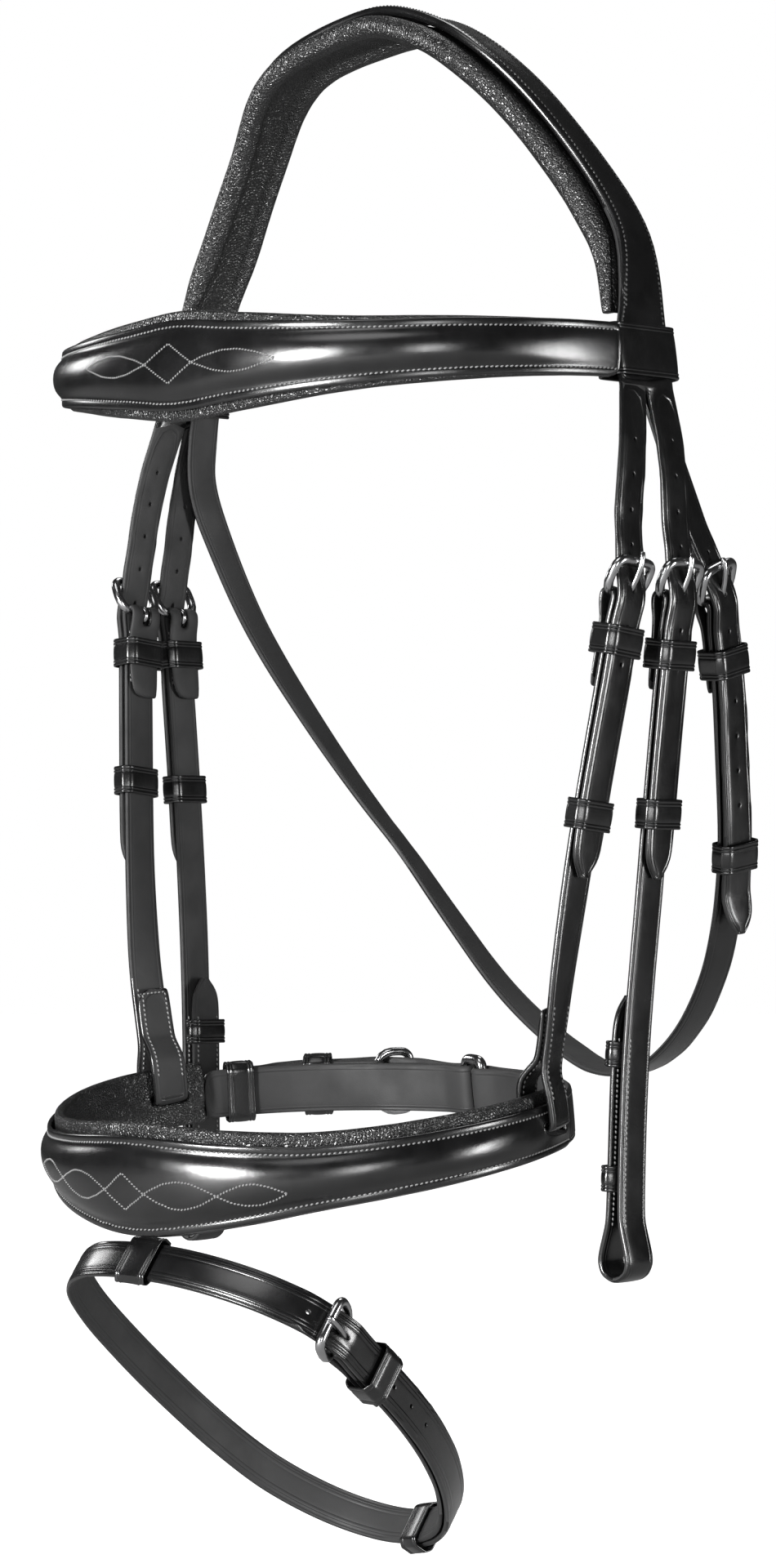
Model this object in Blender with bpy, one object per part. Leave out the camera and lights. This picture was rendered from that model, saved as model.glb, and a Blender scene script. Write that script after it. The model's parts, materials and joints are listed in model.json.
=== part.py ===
"""Anatomic snaffle bridle with a crank noseband and a flash strap, as it hangs on a horse's head.

The frame has its origin under the middle of the crown, +Z up. The horse looks along -Y, and its near (left)
side is +X. All lengths are in metres. Each strap is a ribbon laid along a line in space: u runs along the
line, v outwards from the line to the grain side, and b across the strap.
"""

import math

import bmesh
import bpy
from mathutils import Matrix, Vector

# Sizes that the whole bridle shares
STRAP_WIDTH = 0.016
STRAP_THICKNESS = 0.0026
EDGE_ROUND = 0.0007
LAYER_GAP = 0.00035
HOLE_RADIUS = 0.0017
HOLE_PITCH = 0.0135
TIP_LENGTH = 0.013
BEND_TOLERANCE = 0.00018
SAMPLE_STEP = 0.0007

# The head that the bridle is sized for
HEAD_HALF_WIDTH = 0.1285
CROWN_RISE = 0.0116
BUCKLE_DROP = 0.221
NOSE_DROP = 0.418
BIT_DROP = 0.470

# Buckles: a bent wire frame on a straight bar, with a wire tongue
BUCKLE_WIRE = 0.0028
BUCKLE_LENGTH = 0.0140
BUCKLE_LIFT = 0.0064
BUCKLE_CORNER = 0.0042
BUCKLE_CLEARANCE = 0.0009
TONGUE_WIRE = 0.0022
TONGUE_REST_GAP = 0.0002
TONGUE_OVERHANG = 0.0034
TONGUE_HOLE_LENGTH = 0.0090

# Folded strap ends
CHAPE_LENGTH = 0.035
CHAPE_EASE = 0.0105
BILLET_EASE = 0.030

# Keepers
KEEPER_WALL = 0.0018
KEEPER_HEIGHT = 0.0115
KEEPER_CLEARANCE = 0.0005
KEEPER_CORNER = 0.0024
HANGER_KEEPER_DROP = 0.0160
CHEEK_KEEPER_DROP = 0.0205
THROAT_KEEPER_DROP = 0.0230
BAND_KEEPER_DROP = 0.0215
HANGER_NEAR_RUNNER_DROP = 0.0815
HANGER_OFF_RUNNER_DROP = 0.0690
CHEEK_NEAR_RUNNER_DROP = 0.0805
CHEEK_OFF_RUNNER_DROP = 0.0717
THROAT_RUNNER_DROP = 0.0985
NOSE_RUNNER_DROP = 0.0530

# Crown: leather headpiece over a pad with a large front roll and a smaller rear roll. Places across it are
# from the frame's upright middle plane, the horse's front being negative
HEADPIECE_THICKNESS = 0.0034
CROWN_PAD_THICKNESS = 0.0036
FRONT_ROLL_RADIUS = 0.0048
REAR_ROLL_RADIUS = 0.0040
ROLL_TO_LEATHER = 0.0032
PIPE_HEIGHT = 0.0016
PIPE_WIDTH = 0.0046
POLL_ROLL_PLACE = -0.0114
CREST_ROLL_PLACE = -0.0172
SHOULDER_ROLL_PLACE = -0.0043
EAR_ROLL_PLACE = 0.0018
PAD_END_ROLL_PLACE = -0.0016
POLL_REAR_EDGE = 0.0235
CREST_REAR_EDGE = 0.0100
SHOULDER_REAR_EDGE = 0.0199
EAR_REAR_EDGE = 0.0272
SPLIT_FRONT_EDGE = -0.0064
SPLIT_REAR_EDGE = 0.0264
SPLIT_DROP = 0.141
SPLIT_TO_PAD_END = 0.0280
SPLIT_TO_BROWBAND = 0.0124
SPLIT_OVERLAP = 0.005
BILLET_LENGTH = 0.105

# Browband
BROW_HALF_WIDTH = 0.1250
BROW_REACH = 0.1286
BROW_ROUNDNESS = 2.36
BROW_SAG = 0.0056
BROW_PAD_THICKNESS = 0.0050
BROW_FACE_THICKNESS = 0.0026
BROW_CENTRE_RAISE = 0.0036
BROW_LOOP_WALL = 0.0024
BROW_LOOP_HEIGHT = 0.0203
BROW_LOOP_RISE = 0.0008
BROW_LOOP_GAP = 0.0016
BROW_CENTRE = 0.0125

# Noseband
NOSE_HALF_WIDTH = 0.1040
NOSE_HALF_DEPTH = 0.0975
NOSE_CENTRE = -0.0430
NOSE_TILT = math.radians(8.0)
NOSE_SAG = 0.0034
NOSE_REAR_SAG = 0.0056
NOSE_ROUNDNESS = 1.9
NOSE_PAD_THICKNESS = 0.0052
NOSE_FACE_THICKNESS = 0.0026
NOSE_CENTRE_RAISE = 0.0036
NOSE_SLOT_LENGTH = 0.0180
NOSE_SLOT_HEIGHT = 0.0054
NOSE_SLOT_ANGLE = math.radians(102.8)
NOSE_FACE_ANGLE = math.radians(113.0)
REAR_STRAP_WIDTH = 0.0200

# Flash strap
FLASH_LENGTH = 0.1900
FLASH_HALF_WIDTH = 0.0650
FLASH_SLOPE = math.radians(38.0)
FLASH_SEAT_ANGLE = math.radians(32.0)
FLASH_BUCKLE_PLACE = 0.0900
FLASH_RUNNER_PLACE = 0.2570
FLASH_TIP_REACH = 0.0120
FLASH_LOOP_LENGTH = 0.0150
FLASH_LOOP_SAG = 0.0009
FLASH_SEAT_GAP = 0.0010


def clear_scene():
    for old in list(bpy.data.objects):
        bpy.data.objects.remove(old)


def material(name, colour, roughness, metallic):
    """A plain Principled surface."""
    made = bpy.data.materials.new(name)
    made.use_nodes = True
    shader = made.node_tree.nodes["Principled BSDF"]
    shader.inputs["Base Color"].default_value = (*colour, 1.0)
    shader.inputs["Roughness"].default_value = roughness
    shader.inputs["Metallic"].default_value = metallic
    return made


def finish(name, mesh_data, surface, smooth_angle=math.radians(35)):
    """Puts a closed bmesh in the scene as one named object."""
    bmesh.ops.remove_doubles(mesh_data, verts=mesh_data.verts, dist=1e-6)
    bmesh.ops.recalc_face_normals(mesh_data, faces=mesh_data.faces)
    mesh = bpy.data.meshes.new(name)
    mesh_data.to_mesh(mesh)
    mesh_data.free()
    mesh.shade_smooth()
    mesh.set_sharp_from_angle(angle=smooth_angle)
    mesh.materials.append(surface)
    made = bpy.data.objects.new(name, mesh)
    bpy.context.scene.collection.objects.link(made)
    return made


def smoothstep(share):
    share = min(max(share, 0.0), 1.0)
    return share * share * (3.0 - 2.0 * share)


def blend(value, table):
    """Reads a smooth curve that doesn't overshoot through (place, size) pairs."""
    if value <= table[0][0]:
        return table[0][1]
    rises = [(s1 - s0) / (p1 - p0) for (p0, s0), (p1, s1) in zip(table, table[1:])]
    slopes = [2.0 * a * b / (a + b) if a * b > 0.0 else 0.0 for a, b in zip(rises, rises[1:])]
    slopes = [0.0] + slopes + [0.0]
    for i, ((p0, s0), (p1, s1)) in enumerate(zip(table, table[1:])):
        if value <= p1:
            step = p1 - p0
            share = (value - p0) / step
            left = 1.0 - share
            lean = slopes[i] * left - slopes[i + 1] * share
            return s0 + (s1 - s0) * smoothstep(share) + lean * step * share * left
    return table[-1][1]


class Line:
    """A smooth line in space that knows its length and which way its outer side looks."""

    STEPS = 24

    def __init__(self, route, outward, closed=False):
        points = [Vector(p) for p in route]
        count = len(points)
        dense = []
        spans = count if closed else count - 1
        for i in range(spans):
            if closed:
                p0, p1, p2, p3 = (points[(i + k) % count] for k in (-1, 0, 1, 2))
            else:
                p1, p2 = points[i], points[i + 1]
                p0 = points[i - 1] if i else p1 * 2 - p2
                p3 = points[i + 2] if i + 2 < count else p2 * 2 - p1
            for k in range(self.STEPS):
                dense.append(self.catmull(p0, p1, p2, p3, k / self.STEPS))
        dense.append(points[0].copy() if closed else points[-1].copy())
        self.dense = dense
        self.outward = outward
        self.closed = closed
        self.lengths = [0.0]
        for a, b in zip(dense, dense[1:]):
            self.lengths.append(self.lengths[-1] + (b - a).length)
        self.length = self.lengths[-1]

    @staticmethod
    def catmull(p0, p1, p2, p3, t):
        """Centripetal Catmull-Rom curve between p1 and p2."""
        t0 = 0.0
        t1 = t0 + max((p1 - p0).length, 1e-9) ** 0.5
        t2 = t1 + max((p2 - p1).length, 1e-9) ** 0.5
        t3 = t2 + max((p3 - p2).length, 1e-9) ** 0.5
        at = t1 + (t2 - t1) * t
        a1 = p0 * ((t1 - at) / (t1 - t0)) + p1 * ((at - t0) / (t1 - t0))
        a2 = p1 * ((t2 - at) / (t2 - t1)) + p2 * ((at - t1) / (t2 - t1))
        a3 = p2 * ((t3 - at) / (t3 - t2)) + p3 * ((at - t2) / (t3 - t2))
        b1 = a1 * ((t2 - at) / (t2 - t0)) + a2 * ((at - t0) / (t2 - t0))
        b2 = a2 * ((t3 - at) / (t3 - t1)) + a3 * ((at - t1) / (t3 - t1))
        return b1 * ((t2 - at) / (t2 - t1)) + b2 * ((at - t1) / (t2 - t1))

    def point(self, u):
        if self.closed:
            u = u % self.length
        if u <= 0.0:
            return self.dense[0] + (self.dense[1] - self.dense[0]).normalized() * u
        if u >= self.length:
            return self.dense[-1] + (self.dense[-1] - self.dense[-2]).normalized() * (u - self.length)
        low, high = 0, len(self.lengths) - 1
        while high - low > 1:
            middle = (low + high) // 2
            if self.lengths[middle] <= u:
                low = middle
            else:
                high = middle
        share = (u - self.lengths[low]) / (self.lengths[high] - self.lengths[low])
        return self.dense[low].lerp(self.dense[high], share)

    def frame(self, u):
        """Point, along, out and across directions at length u."""
        reach = self.length * 1e-3
        along = (self.point(u + reach) - self.point(u - reach)).normalized()
        place = self.point(u)
        out = self.outward(place)
        out = (out - along * out.dot(along)).normalized()
        return place, along, out, out.cross(along)

    def find(self, axis, value):
        """The length at which one coordinate first passes a value."""
        for i, (a, b) in enumerate(zip(self.dense, self.dense[1:])):
            if (a[axis] - value) * (b[axis] - value) <= 0.0 and a[axis] != b[axis]:
                share = (value - a[axis]) / (b[axis] - a[axis])
                return self.lengths[i] + share * (self.lengths[i + 1] - self.lengths[i])
        raise ValueError("the line never gets there")


class Path:
    """A run in the u, v plane over a line: straight stretches, eased steps and turns."""

    def __init__(self, line, u, v):
        self.line = line
        self.points = [(u, v)]

    def to(self, u, v, steps=12):
        """Goes on to u, v and eases the sideways step."""
        u0, v0 = self.points[-1]
        for k in range(1, steps + 1):
            share = k / steps
            self.points.append((u0 + (u - u0) * share, v0 + (v - v0) * smoothstep(share)))
        return self

    def turn(self, centre, start, end, steps=18):
        """Turns round a centre. An angle of zero looks back along u, a quarter turn looks out."""
        radius = math.hypot(self.points[-1][0] - centre[0], self.points[-1][1] - centre[1])
        for k in range(1, steps + 1):
            angle = start + (end - start) * k / steps
            self.points.append(
                (centre[0] - radius * math.cos(angle), centre[1] + radius * math.sin(angle))
            )
        return self

    def measure(self):
        places = [self.place(u, v) for u, v in self.points]
        self.lengths = [0.0]
        for a, b in zip(places, places[1:]):
            self.lengths.append(self.lengths[-1] + (b - a).length)
        return self

    def place(self, u, v):
        point, _along, out, _across = self.line.frame(u)
        return point + out * v

    def uv(self, s):
        if s <= 0.0:
            return self.points[0]
        for i in range(len(self.points) - 1):
            if s <= self.lengths[i + 1]:
                share = (s - self.lengths[i]) / max(self.lengths[i + 1] - self.lengths[i], 1e-12)
                (u0, v0), (u1, v1) = self.points[i], self.points[i + 1]
                return u0 + (u1 - u0) * share, v0 + (v1 - v0) * share
        return self.points[-1]

    def frame(self, s):
        """Point, along, out and across on the run itself at length s."""
        reach = 2e-4
        total = self.lengths[-1]
        u, v = self.uv(s)
        before = self.place(*self.uv(max(s - reach, 0.0)))
        after = self.place(*self.uv(min(s + reach, total)))
        across = self.line.frame(u)[3]
        along = (after - before).normalized()
        out = along.cross(across).normalized()
        return self.place(u, v), along, out, across

    def at(self, u, nth=0):
        """The length at which the run passes u, for the nth time."""
        found = []
        for i, ((u0, _v0), (u1, _v1)) in enumerate(zip(self.points, self.points[1:])):
            if (u0 - u) * (u1 - u) <= 0.0 and u0 != u1:
                s = self.lengths[i] + (u - u0) / (u1 - u0) * (self.lengths[i + 1] - self.lengths[i])
                if not found or s - found[-1] > 1e-4:
                    found.append(s)
        return found[nth]

    def stations(self, strayed=BEND_TOLERANCE, most_turn=math.radians(24)):
        """Lengths close enough together to follow the run's bends and twists."""
        total = self.lengths[-1]
        count = max(int(total / SAMPLE_STEP), 2)
        lengths = [total * k / count for k in range(count + 1)]
        frames = [self.frame(s) for s in lengths]
        kept = {0, count}
        open_spans = [(0, count)]
        while open_spans:
            low, high = open_spans.pop()
            if high - low < 2:
                continue
            start, chord = frames[low][0], frames[high][0] - frames[low][0]
            worst, where = 0.0, None
            for k in range(low + 1, high):
                offset = frames[k][0] - start
                if chord.length > 1e-9:
                    offset = offset - chord * (offset.dot(chord) / chord.length_squared)
                if offset.length > worst:
                    worst, where = offset.length, k
            twisted = frames[low][3].angle(frames[high][3]) > most_turn
            if worst > strayed or twisted:
                where = where if worst > strayed else (low + high) // 2
                kept.add(where)
                open_spans += [(low, where), (where, high)]
        return [lengths[k] for k in sorted(kept)]


def ribbon(path, width=STRAP_WIDTH, thickness=STRAP_THICKNESS, holes=(), slots=(), tip=False):
    """A flat strap along a path. Holes are (length, half length), slots are (start, end) lengths."""
    total = path.lengths[-1]
    half = width / 2
    cuts = []
    for s, reach in holes:
        cuts.append((s - reach, s + reach, s))
    for start, end in slots:
        cuts.append((start, end, None))
    wanted = set()
    for start, end, middle in cuts:
        wanted |= {start, end}
        wanted |= {middle} if middle is not None else set()
    if tip:
        for share in (1.0, 0.62, 0.34, 0.14, 0.04):
            wanted.add(total - TIP_LENGTH * share)
    rows = sorted(wanted)
    for s in path.stations():
        inside = [c for c in cuts if c[2] is not None and c[0] < s < c[1]]
        near = wanted and min(abs(s - r) for r in wanted) < SAMPLE_STEP
        if s in (0.0, total) or not (inside or near):
            rows.append(s)
    rows = sorted(set(rows))

    def half_width(s):
        left = total - s
        if not tip or left >= TIP_LENGTH:
            return half
        share = 1.0 - left / TIP_LENGTH
        return half * max(1.0 - share ** 2.2, 0.16) ** 0.62

    def half_gap(s):
        for start, end, middle in cuts:
            if start - 1e-9 <= s <= end + 1e-9:
                if middle is None:
                    return TONGUE_WIRE / 2 + KEEPER_CLEARANCE
                return HOLE_RADIUS if abs(s - middle) < 1e-9 else HOLE_RADIUS * 0.5
        return HOLE_RADIUS * 0.5

    def is_open(s0, s1):
        middle = (s0 + s1) / 2
        return any(start < middle < end for start, end, _m in cuts)

    opened = [is_open(s0, s1) for s0, s1 in zip(rows, rows[1:])]
    made = bmesh.new()
    top, bottom = thickness / 2, -thickness / 2
    rings = []
    for i, s in enumerate(rows):
        place, _along, out, across = path.frame(s)
        w = half_width(s)
        edge = min(EDGE_ROUND, w * 0.3)
        cut = any(opened[max(i - 1, 0):i + 1])
        q = min(half_gap(s), w * 0.5)
        inner = [-q, q] if cut else []
        upper = [(b, top) for b in [-w + edge] + inner + [w - edge]]
        lower = [(b, bottom) for b, _n in reversed(upper)]
        profile = [(-w, 0.0)] + upper + [(w, 0.0)] + lower
        rings.append([made.verts.new(place + across * b + out * n) for b, n in profile])

    def parts(ring):
        """The ring's two side points, its upper row and its lower row, both from -b to +b."""
        many = (len(ring) - 2) // 2
        return ring[0], ring[many + 1], ring[1:many + 1], ring[many + 2:][::-1]

    def wall(low, high, hollow):
        if hollow:
            made.faces.new((low[0], low[1], high[1], high[0]))
            made.faces.new((low[2], low[3], high[3], high[2]))
        elif len(low) == 4 and len(high) == 4:
            for k in range(3):
                made.faces.new((low[k], low[k + 1], high[k + 1], high[k]))
        else:
            made.faces.new((*low, *reversed(high)))

    for i, (low, high) in enumerate(zip(rings, rings[1:])):
        left0, right0, upper0, lower0 = parts(low)
        left1, right1, upper1, lower1 = parts(high)
        wall(upper0, upper1, opened[i])
        wall(lower0, lower1, opened[i])
        for side0, side1, k in ((left0, left1, 0), (right0, right1, -1)):
            made.faces.new((side0, upper0[k], upper1[k], side1))
            made.faces.new((side0, lower0[k], lower1[k], side1))
        if opened[i]:
            for k in (1, 2):
                made.faces.new((upper0[k], upper1[k], lower1[k], lower0[k]))
    for i, ring in enumerate(rings):
        before = opened[i - 1] if i else False
        after = opened[i] if i < len(opened) else False
        if before != after:
            _left, _right, upper, lower = parts(ring)
            made.faces.new((upper[1], upper[2], lower[2], lower[1]))
    made.faces.new(rings[0])
    made.faces.new(rings[-1])
    return made


def sweep(frames, profile_at, closed=False):
    """Joins one closed outline per frame. The outline is (across, out) pairs."""
    made = bmesh.new()
    rings = []
    for k, (place, _along, out, across) in enumerate(frames):
        rings.append([made.verts.new(place + across * b + out * n) for b, n in profile_at(k)])
    pairs = list(zip(rings, rings[1:]))
    if closed:
        pairs.append((rings[-1], rings[0]))
    for low, high in pairs:
        count = len(low)
        for k in range(count):
            j = (k + 1) % count
            made.faces.new((low[k], low[j], high[j], high[k]))
    if not closed:
        made.faces.new(rings[0])
        made.faces.new(rings[-1])
    return made


def tube(points, radius, sides, closed=False):
    """A round wire through points that lie in one plane or nearly so."""
    frames = []
    count = len(points)
    side = None
    for k in range(count):
        if closed:
            along = points[(k + 1) % count] - points[k - 1]
        else:
            along = points[min(k + 1, count - 1)] - points[max(k - 1, 0)]
        along.normalize()
        if side is None:
            other = points[count // 3] - points[0]
            side = along.cross(other)
            if side.length < 1e-9:
                side = along.orthogonal()
        side = (side - along * side.dot(along)).normalized()
        frames.append((points[k], along, along.cross(side), side))
    outline = [
        (radius * math.cos(2 * math.pi * k / sides), radius * math.sin(2 * math.pi * k / sides))
        for k in range(sides)
    ]
    return sweep(frames, lambda _k: outline, closed)


# Where the buckle's bar lies under the strap's own line, and how far each layer stands off
FOLD_RADIUS = BUCKLE_WIRE / 2 + LAYER_GAP + STRAP_THICKNESS / 2
LAYER_STEP = STRAP_THICKNESS + LAYER_GAP
BAR_DEPTH = -LAYER_STEP / 2


def chape(line, u_bar, bar=BAR_DEPTH, settled=0.0):
    """The start of a folded strap: up inside, round the bar and down outside."""
    path = Path(line, u_bar + CHAPE_LENGTH, settled - LAYER_STEP)
    path.to(u_bar + CHAPE_EASE, settled - LAYER_STEP)
    path.to(u_bar, bar - FOLD_RADIUS)
    path.turn((u_bar, bar), -math.pi / 2, math.pi / 2)
    path.to(u_bar + CHAPE_EASE, settled)
    return path


def chape_slot(path, u_bar):
    """Start and end lengths of the tongue's slot over the fold."""
    reach = u_bar + BUCKLE_WIRE / 2 + TONGUE_WIRE + LAYER_GAP * 3
    return path.at(reach, 0), path.at(reach, 1)


def billet(path, u_bar, u_end, bar=BAR_DEPTH, settled=0.0):
    """Carries a strap under the frame's top, over the bar and down over the folded strap."""
    path.to(u_bar - BILLET_EASE, path.points[-1][1])
    path.to(u_bar - BUCKLE_LENGTH, bar + BUCKLE_LIFT - FOLD_RADIUS)
    path.to(u_bar, bar + FOLD_RADIUS + LAYER_STEP)
    path.to(u_bar + CHAPE_EASE, settled + LAYER_STEP)
    path.to(u_end, settled + LAYER_STEP)
    return path


TONGUE_HOLE_BACK = 0.0042


def buckle(name, line, u_bar, steel, bar_depth=BAR_DEPTH, width=STRAP_WIDTH):
    """The frame: a straight bar, two sides that rise from it and a rounded top."""
    place, along, out, across = line.frame(u_bar)
    bar = place + out * bar_depth
    half = width / 2 + BUCKLE_CLEARANCE + BUCKLE_WIRE / 2
    rise = (-along * BUCKLE_LENGTH + out * BUCKLE_LIFT)
    length = rise.length
    rise.normalize()
    outline = [(-half, 0.0), (0.0, 0.0), (half, 0.0)]
    corners = ((half - BUCKLE_CORNER, 0.0), (-half + BUCKLE_CORNER, 90.0))
    for x, start in corners:
        for k in range(4):
            angle = math.radians(start + 30.0 * k)
            outline.append((x + BUCKLE_CORNER * math.cos(angle),
                            length - BUCKLE_CORNER + BUCKLE_CORNER * math.sin(angle)))
    points = [bar + across * x + rise * y for x, y in outline]
    normal = rise.cross(across)
    frames = []
    count = len(points)
    for k in range(count):
        step = (points[(k + 1) % count] - points[k]).normalized() + (points[k] - points[k - 1]).normalized()
        step.normalize()
        frames.append((points[k], step, normal, normal.cross(step)))
    outlines = []
    sides = 8
    for k in range(count):
        before = (points[k] - points[k - 1]).normalized()
        after = (points[(k + 1) % count] - points[k]).normalized()
        stretch = 1.0 / max(math.cos(before.angle(after) / 2), 0.5)
        outlines.append([
            (BUCKLE_WIRE / 2 * stretch * math.cos(2 * math.pi * (j + 0.5) / sides),
             BUCKLE_WIRE / 2 * math.sin(2 * math.pi * (j + 0.5) / sides)) for j in range(sides)
        ])
    return finish(name, sweep(frames, lambda k: outlines[k], closed=True), steel)


def tongue(name, line, u_bar, steel, bar_depth=BAR_DEPTH):
    """A wire wrapped round the bar, through the hole and over the frame's top."""
    place, along, out, across = line.frame(u_bar)
    bar = place + out * bar_depth
    radius = BUCKLE_WIRE / 2 + LAYER_GAP + TONGUE_WIRE / 2
    flat = []
    for k in range(9):
        angle = math.radians(20.0 - 260.0 * k / 8)
        flat.append((-radius * math.cos(angle), radius * math.sin(angle)))
    rest = BUCKLE_LIFT + BUCKLE_WIRE / 2 + TONGUE_REST_GAP + TONGUE_WIRE / 2
    u_top, v_top = -BUCKLE_LENGTH, rest
    u0, v0 = flat[-1]
    flat.append((u0 + (u_top - u0) * 0.35, v0 + (v_top - v0) * 0.47))
    flat.append((u0 + (u_top - u0) * 0.68, v0 + (v_top - v0) * 0.82))
    flat.append((u_top, v_top))
    flat.append((u_top - TONGUE_OVERHANG, v_top - TONGUE_WIRE * 0.2))
    points = [bar + along * u + out * v for u, v in flat]
    made = finish(name, tube(points, TONGUE_WIRE / 2, 6), steel)
    set_origin(made, bar)
    return made


def set_origin(made, place):
    """Moves an object's origin to a place without moving its mesh in space."""
    made.data.transform(Matrix.Translation(-place))
    made.matrix_world = Matrix.Translation(place)


def keeper(name, line, u_middle, v_low, v_high, surface, width=STRAP_WIDTH, height=KEEPER_HEIGHT,
           offset=0.0, wall=KEEPER_WALL):
    """A leather loop round the layers between v_low and v_high."""
    place, along, out, across = line.frame(u_middle)
    place = place + across * offset
    half = width / 2 + KEEPER_CLEARANCE
    low, high = v_low - KEEPER_CLEARANCE, v_high + KEEPER_CLEARANCE
    centre, reach = (low + high) / 2, (high - low) / 2
    made = bmesh.new()
    rings = []
    for end in (-height / 2, height / 2):
        for grow in (0.0, wall):
            ring = []
            corner = min(KEEPER_CORNER * 0.3, reach * 0.5) + grow
            for quarter, (sx, sy) in enumerate(((1, 1), (-1, 1), (-1, -1), (1, -1))):
                for k in range(3):
                    angle = math.radians(90.0 * quarter + 45.0 * k)
                    x = sx * (half + grow - corner) + corner * math.cos(angle)
                    y = sy * (reach + grow - corner) + corner * math.sin(angle)
                    ring.append(made.verts.new(place + along * end + across * x + out * (centre + y)))
            rings.append(ring)
    inner0, outer0, inner1, outer1 = rings
    count = len(inner0)
    for k in range(count):
        j = (k + 1) % count
        made.faces.new((inner0[k], inner0[j], inner1[j], inner1[k]))
        made.faces.new((outer0[k], outer0[j], outer1[j], outer1[k]))
        made.faces.new((inner0[k], inner0[j], outer0[j], outer0[k]))
        made.faces.new((inner1[k], inner1[j], outer1[j], outer1[k]))
    made_object = finish(name, made, surface)
    set_origin(made_object, place)
    return made_object


# The crown's arch, half of it, as shares of the split's half width and of its depth under the top
ARCH_SHARES = ((0.0, 0.0), (0.198, 0.034), (0.374, 0.094), (0.515, 0.1815), (0.627, 0.284), (0.730, 0.392),
               (0.831, 0.510), (0.919, 0.638), (0.956, 0.785), (0.982, 0.933), (1.0, 1.0))


def split_half_width():
    return HANGER_TOP_SHARES[0][0] * HEAD_HALF_WIDTH


def arch_line():
    """The middle of the headpiece leather, from the off side over the poll to the near side."""
    depth = CROWN_RISE + SPLIT_DROP
    half = [(split_half_width() * x, 0.0, CROWN_RISE - depth * z) for x, z in ARCH_SHARES]
    route = [(-x, y, z) for x, y, z in reversed(half)] + half[1:]
    return Line(route, lambda place: Vector((place.x, 0.0, place.z + SPLIT_DROP)))


def mirrored(route, side):
    return [(side * x, y, z) for x, y, z in route]


def sideways(side):
    return lambda place: Vector((side, 0.0, 0.0))


# Strap routes: x as shares of the head's half width, y as shares of it too, z as shares of a drop
HANGER_TOP_SHARES = ((0.946, 0.016), (0.981, -0.027), (0.995, -0.062), (0.991, -0.086))
HANGER_LOW_SHARES = ((0.965, -0.113, 0.16), (0.928, -0.148, 0.34), (0.890, -0.179, 0.546),
                     (0.852, -0.195, 0.727), (0.818, -0.190, 0.860))
CHEEK_TOP_SHARES = ((0.946, 0.143), (0.992, 0.137), (1.018, 0.125), (1.021, 0.117))
CHEEK_LOW_SHARES = ((0.998, 0.113, 0.126), (0.968, 0.109, 0.268), (0.942, 0.104, 0.431), (0.920, 0.096, 0.553),
                    (0.903, 0.088, 0.675), (0.895, 0.082, 0.797), (0.892, 0.078, 0.919), (0.891, 0.078, 1.0))
TOP_DROP_SHARES = (0.0, 0.29, 0.59, 1.0)


def strap_route(top_shares, low_shares, low_drop, side):
    """From the headpiece's split past the buckle to the strap's lowest point."""
    route = []
    for (x, y), share in zip(top_shares, TOP_DROP_SHARES):
        z = -SPLIT_DROP - (BUCKLE_DROP - SPLIT_DROP) * share
        route.append((x * HEAD_HALF_WIDTH, y * HEAD_HALF_WIDTH, z))
    for x, y, share in low_shares:
        z = -BUCKLE_DROP - (low_drop - BUCKLE_DROP) * share
        route.append((x * HEAD_HALF_WIDTH, y * HEAD_HALF_WIDTH, z))
    return mirrored(route, side)


def nose_turned(vector):
    """Turns a flat direction of the noseband's plane to its hang."""
    c, s = math.cos(NOSE_TILT), math.sin(NOSE_TILT)
    return Vector((vector.x, vector.y * c - vector.z * s, vector.y * s + vector.z * c))



def rounded_place(half_width, half_depth, roundness, angle):
    """A place on a flat, squared or pointed ellipse, at an angle from the front towards the near side."""
    s, c = math.sin(angle), -math.cos(angle)
    power = 2.0 / roundness
    return Vector((half_width * math.copysign(abs(s) ** power, s), half_depth * math.copysign(abs(c) ** power, c), 0.0))


def ellipse_line(half_width, half_depth, centre, roundness, lift, turned, count=40):
    """A closed line round the head, from the front middle towards the near side."""
    route = []
    for k in range(count):
        angle = 2 * math.pi * k / count
        flat = rounded_place(half_width, half_depth, roundness, angle)
        route.append(turned(flat) + centre + Vector((0.0, 0.0, lift(angle))))
    upright = turned(Vector((0.0, 0.0, 1.0)))

    def outward(place):
        flat = place - centre
        flat -= upright * flat.dot(upright)
        return flat

    return Line(route, outward, closed=True)


def ellipse_length(line, angle):
    """The length along an ellipse line at which its turning angle is reached."""
    share = (angle / (2 * math.pi)) % 1.0 * (len(line.dense) - 1)
    low = int(share)
    high = min(low + 1, len(line.dense) - 1)
    return line.lengths[low] + (line.lengths[high] - line.lengths[low]) * (share - low)


SLOT_FLAT = rounded_place(NOSE_HALF_WIDTH, NOSE_HALF_DEPTH, NOSE_ROUNDNESS, NOSE_SLOT_ANGLE)
SWING_PLACE = Vector((0.0, NOSE_CENTRE + SLOT_FLAT.y, -NOSE_DROP))


def nose_centre():
    """The middle of the noseband's ring, so that its slots lie on the swing axis."""
    return SWING_PLACE - nose_turned(Vector((0.0, SLOT_FLAT.y, 0.0)))


def noseband_line():
    def lift(angle):
        ahead = math.cos(angle)
        return -(NOSE_SAG if ahead > 0.0 else NOSE_REAR_SAG) * ahead ** 2

    return ellipse_line(NOSE_HALF_WIDTH, NOSE_HALF_DEPTH, nose_centre(), NOSE_ROUNDNESS, lift, nose_turned)


def boolean(target, others, operation):
    """Joins bodies to a target or cuts them out of it, and removes them."""
    for other in others:
        step = target.modifiers.new(operation.title(), "BOOLEAN")
        step.operation = operation
        step.solver = "EXACT"
        step.object = other
    bpy.context.view_layer.update()
    graph = bpy.context.evaluated_depsgraph_get()
    mesh = bpy.data.meshes.new_from_object(target.evaluated_get(graph))
    target.modifiers.clear()
    target.data = mesh
    mesh.name = target.name
    for other in others:
        bpy.data.objects.remove(other)
    return target


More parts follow.
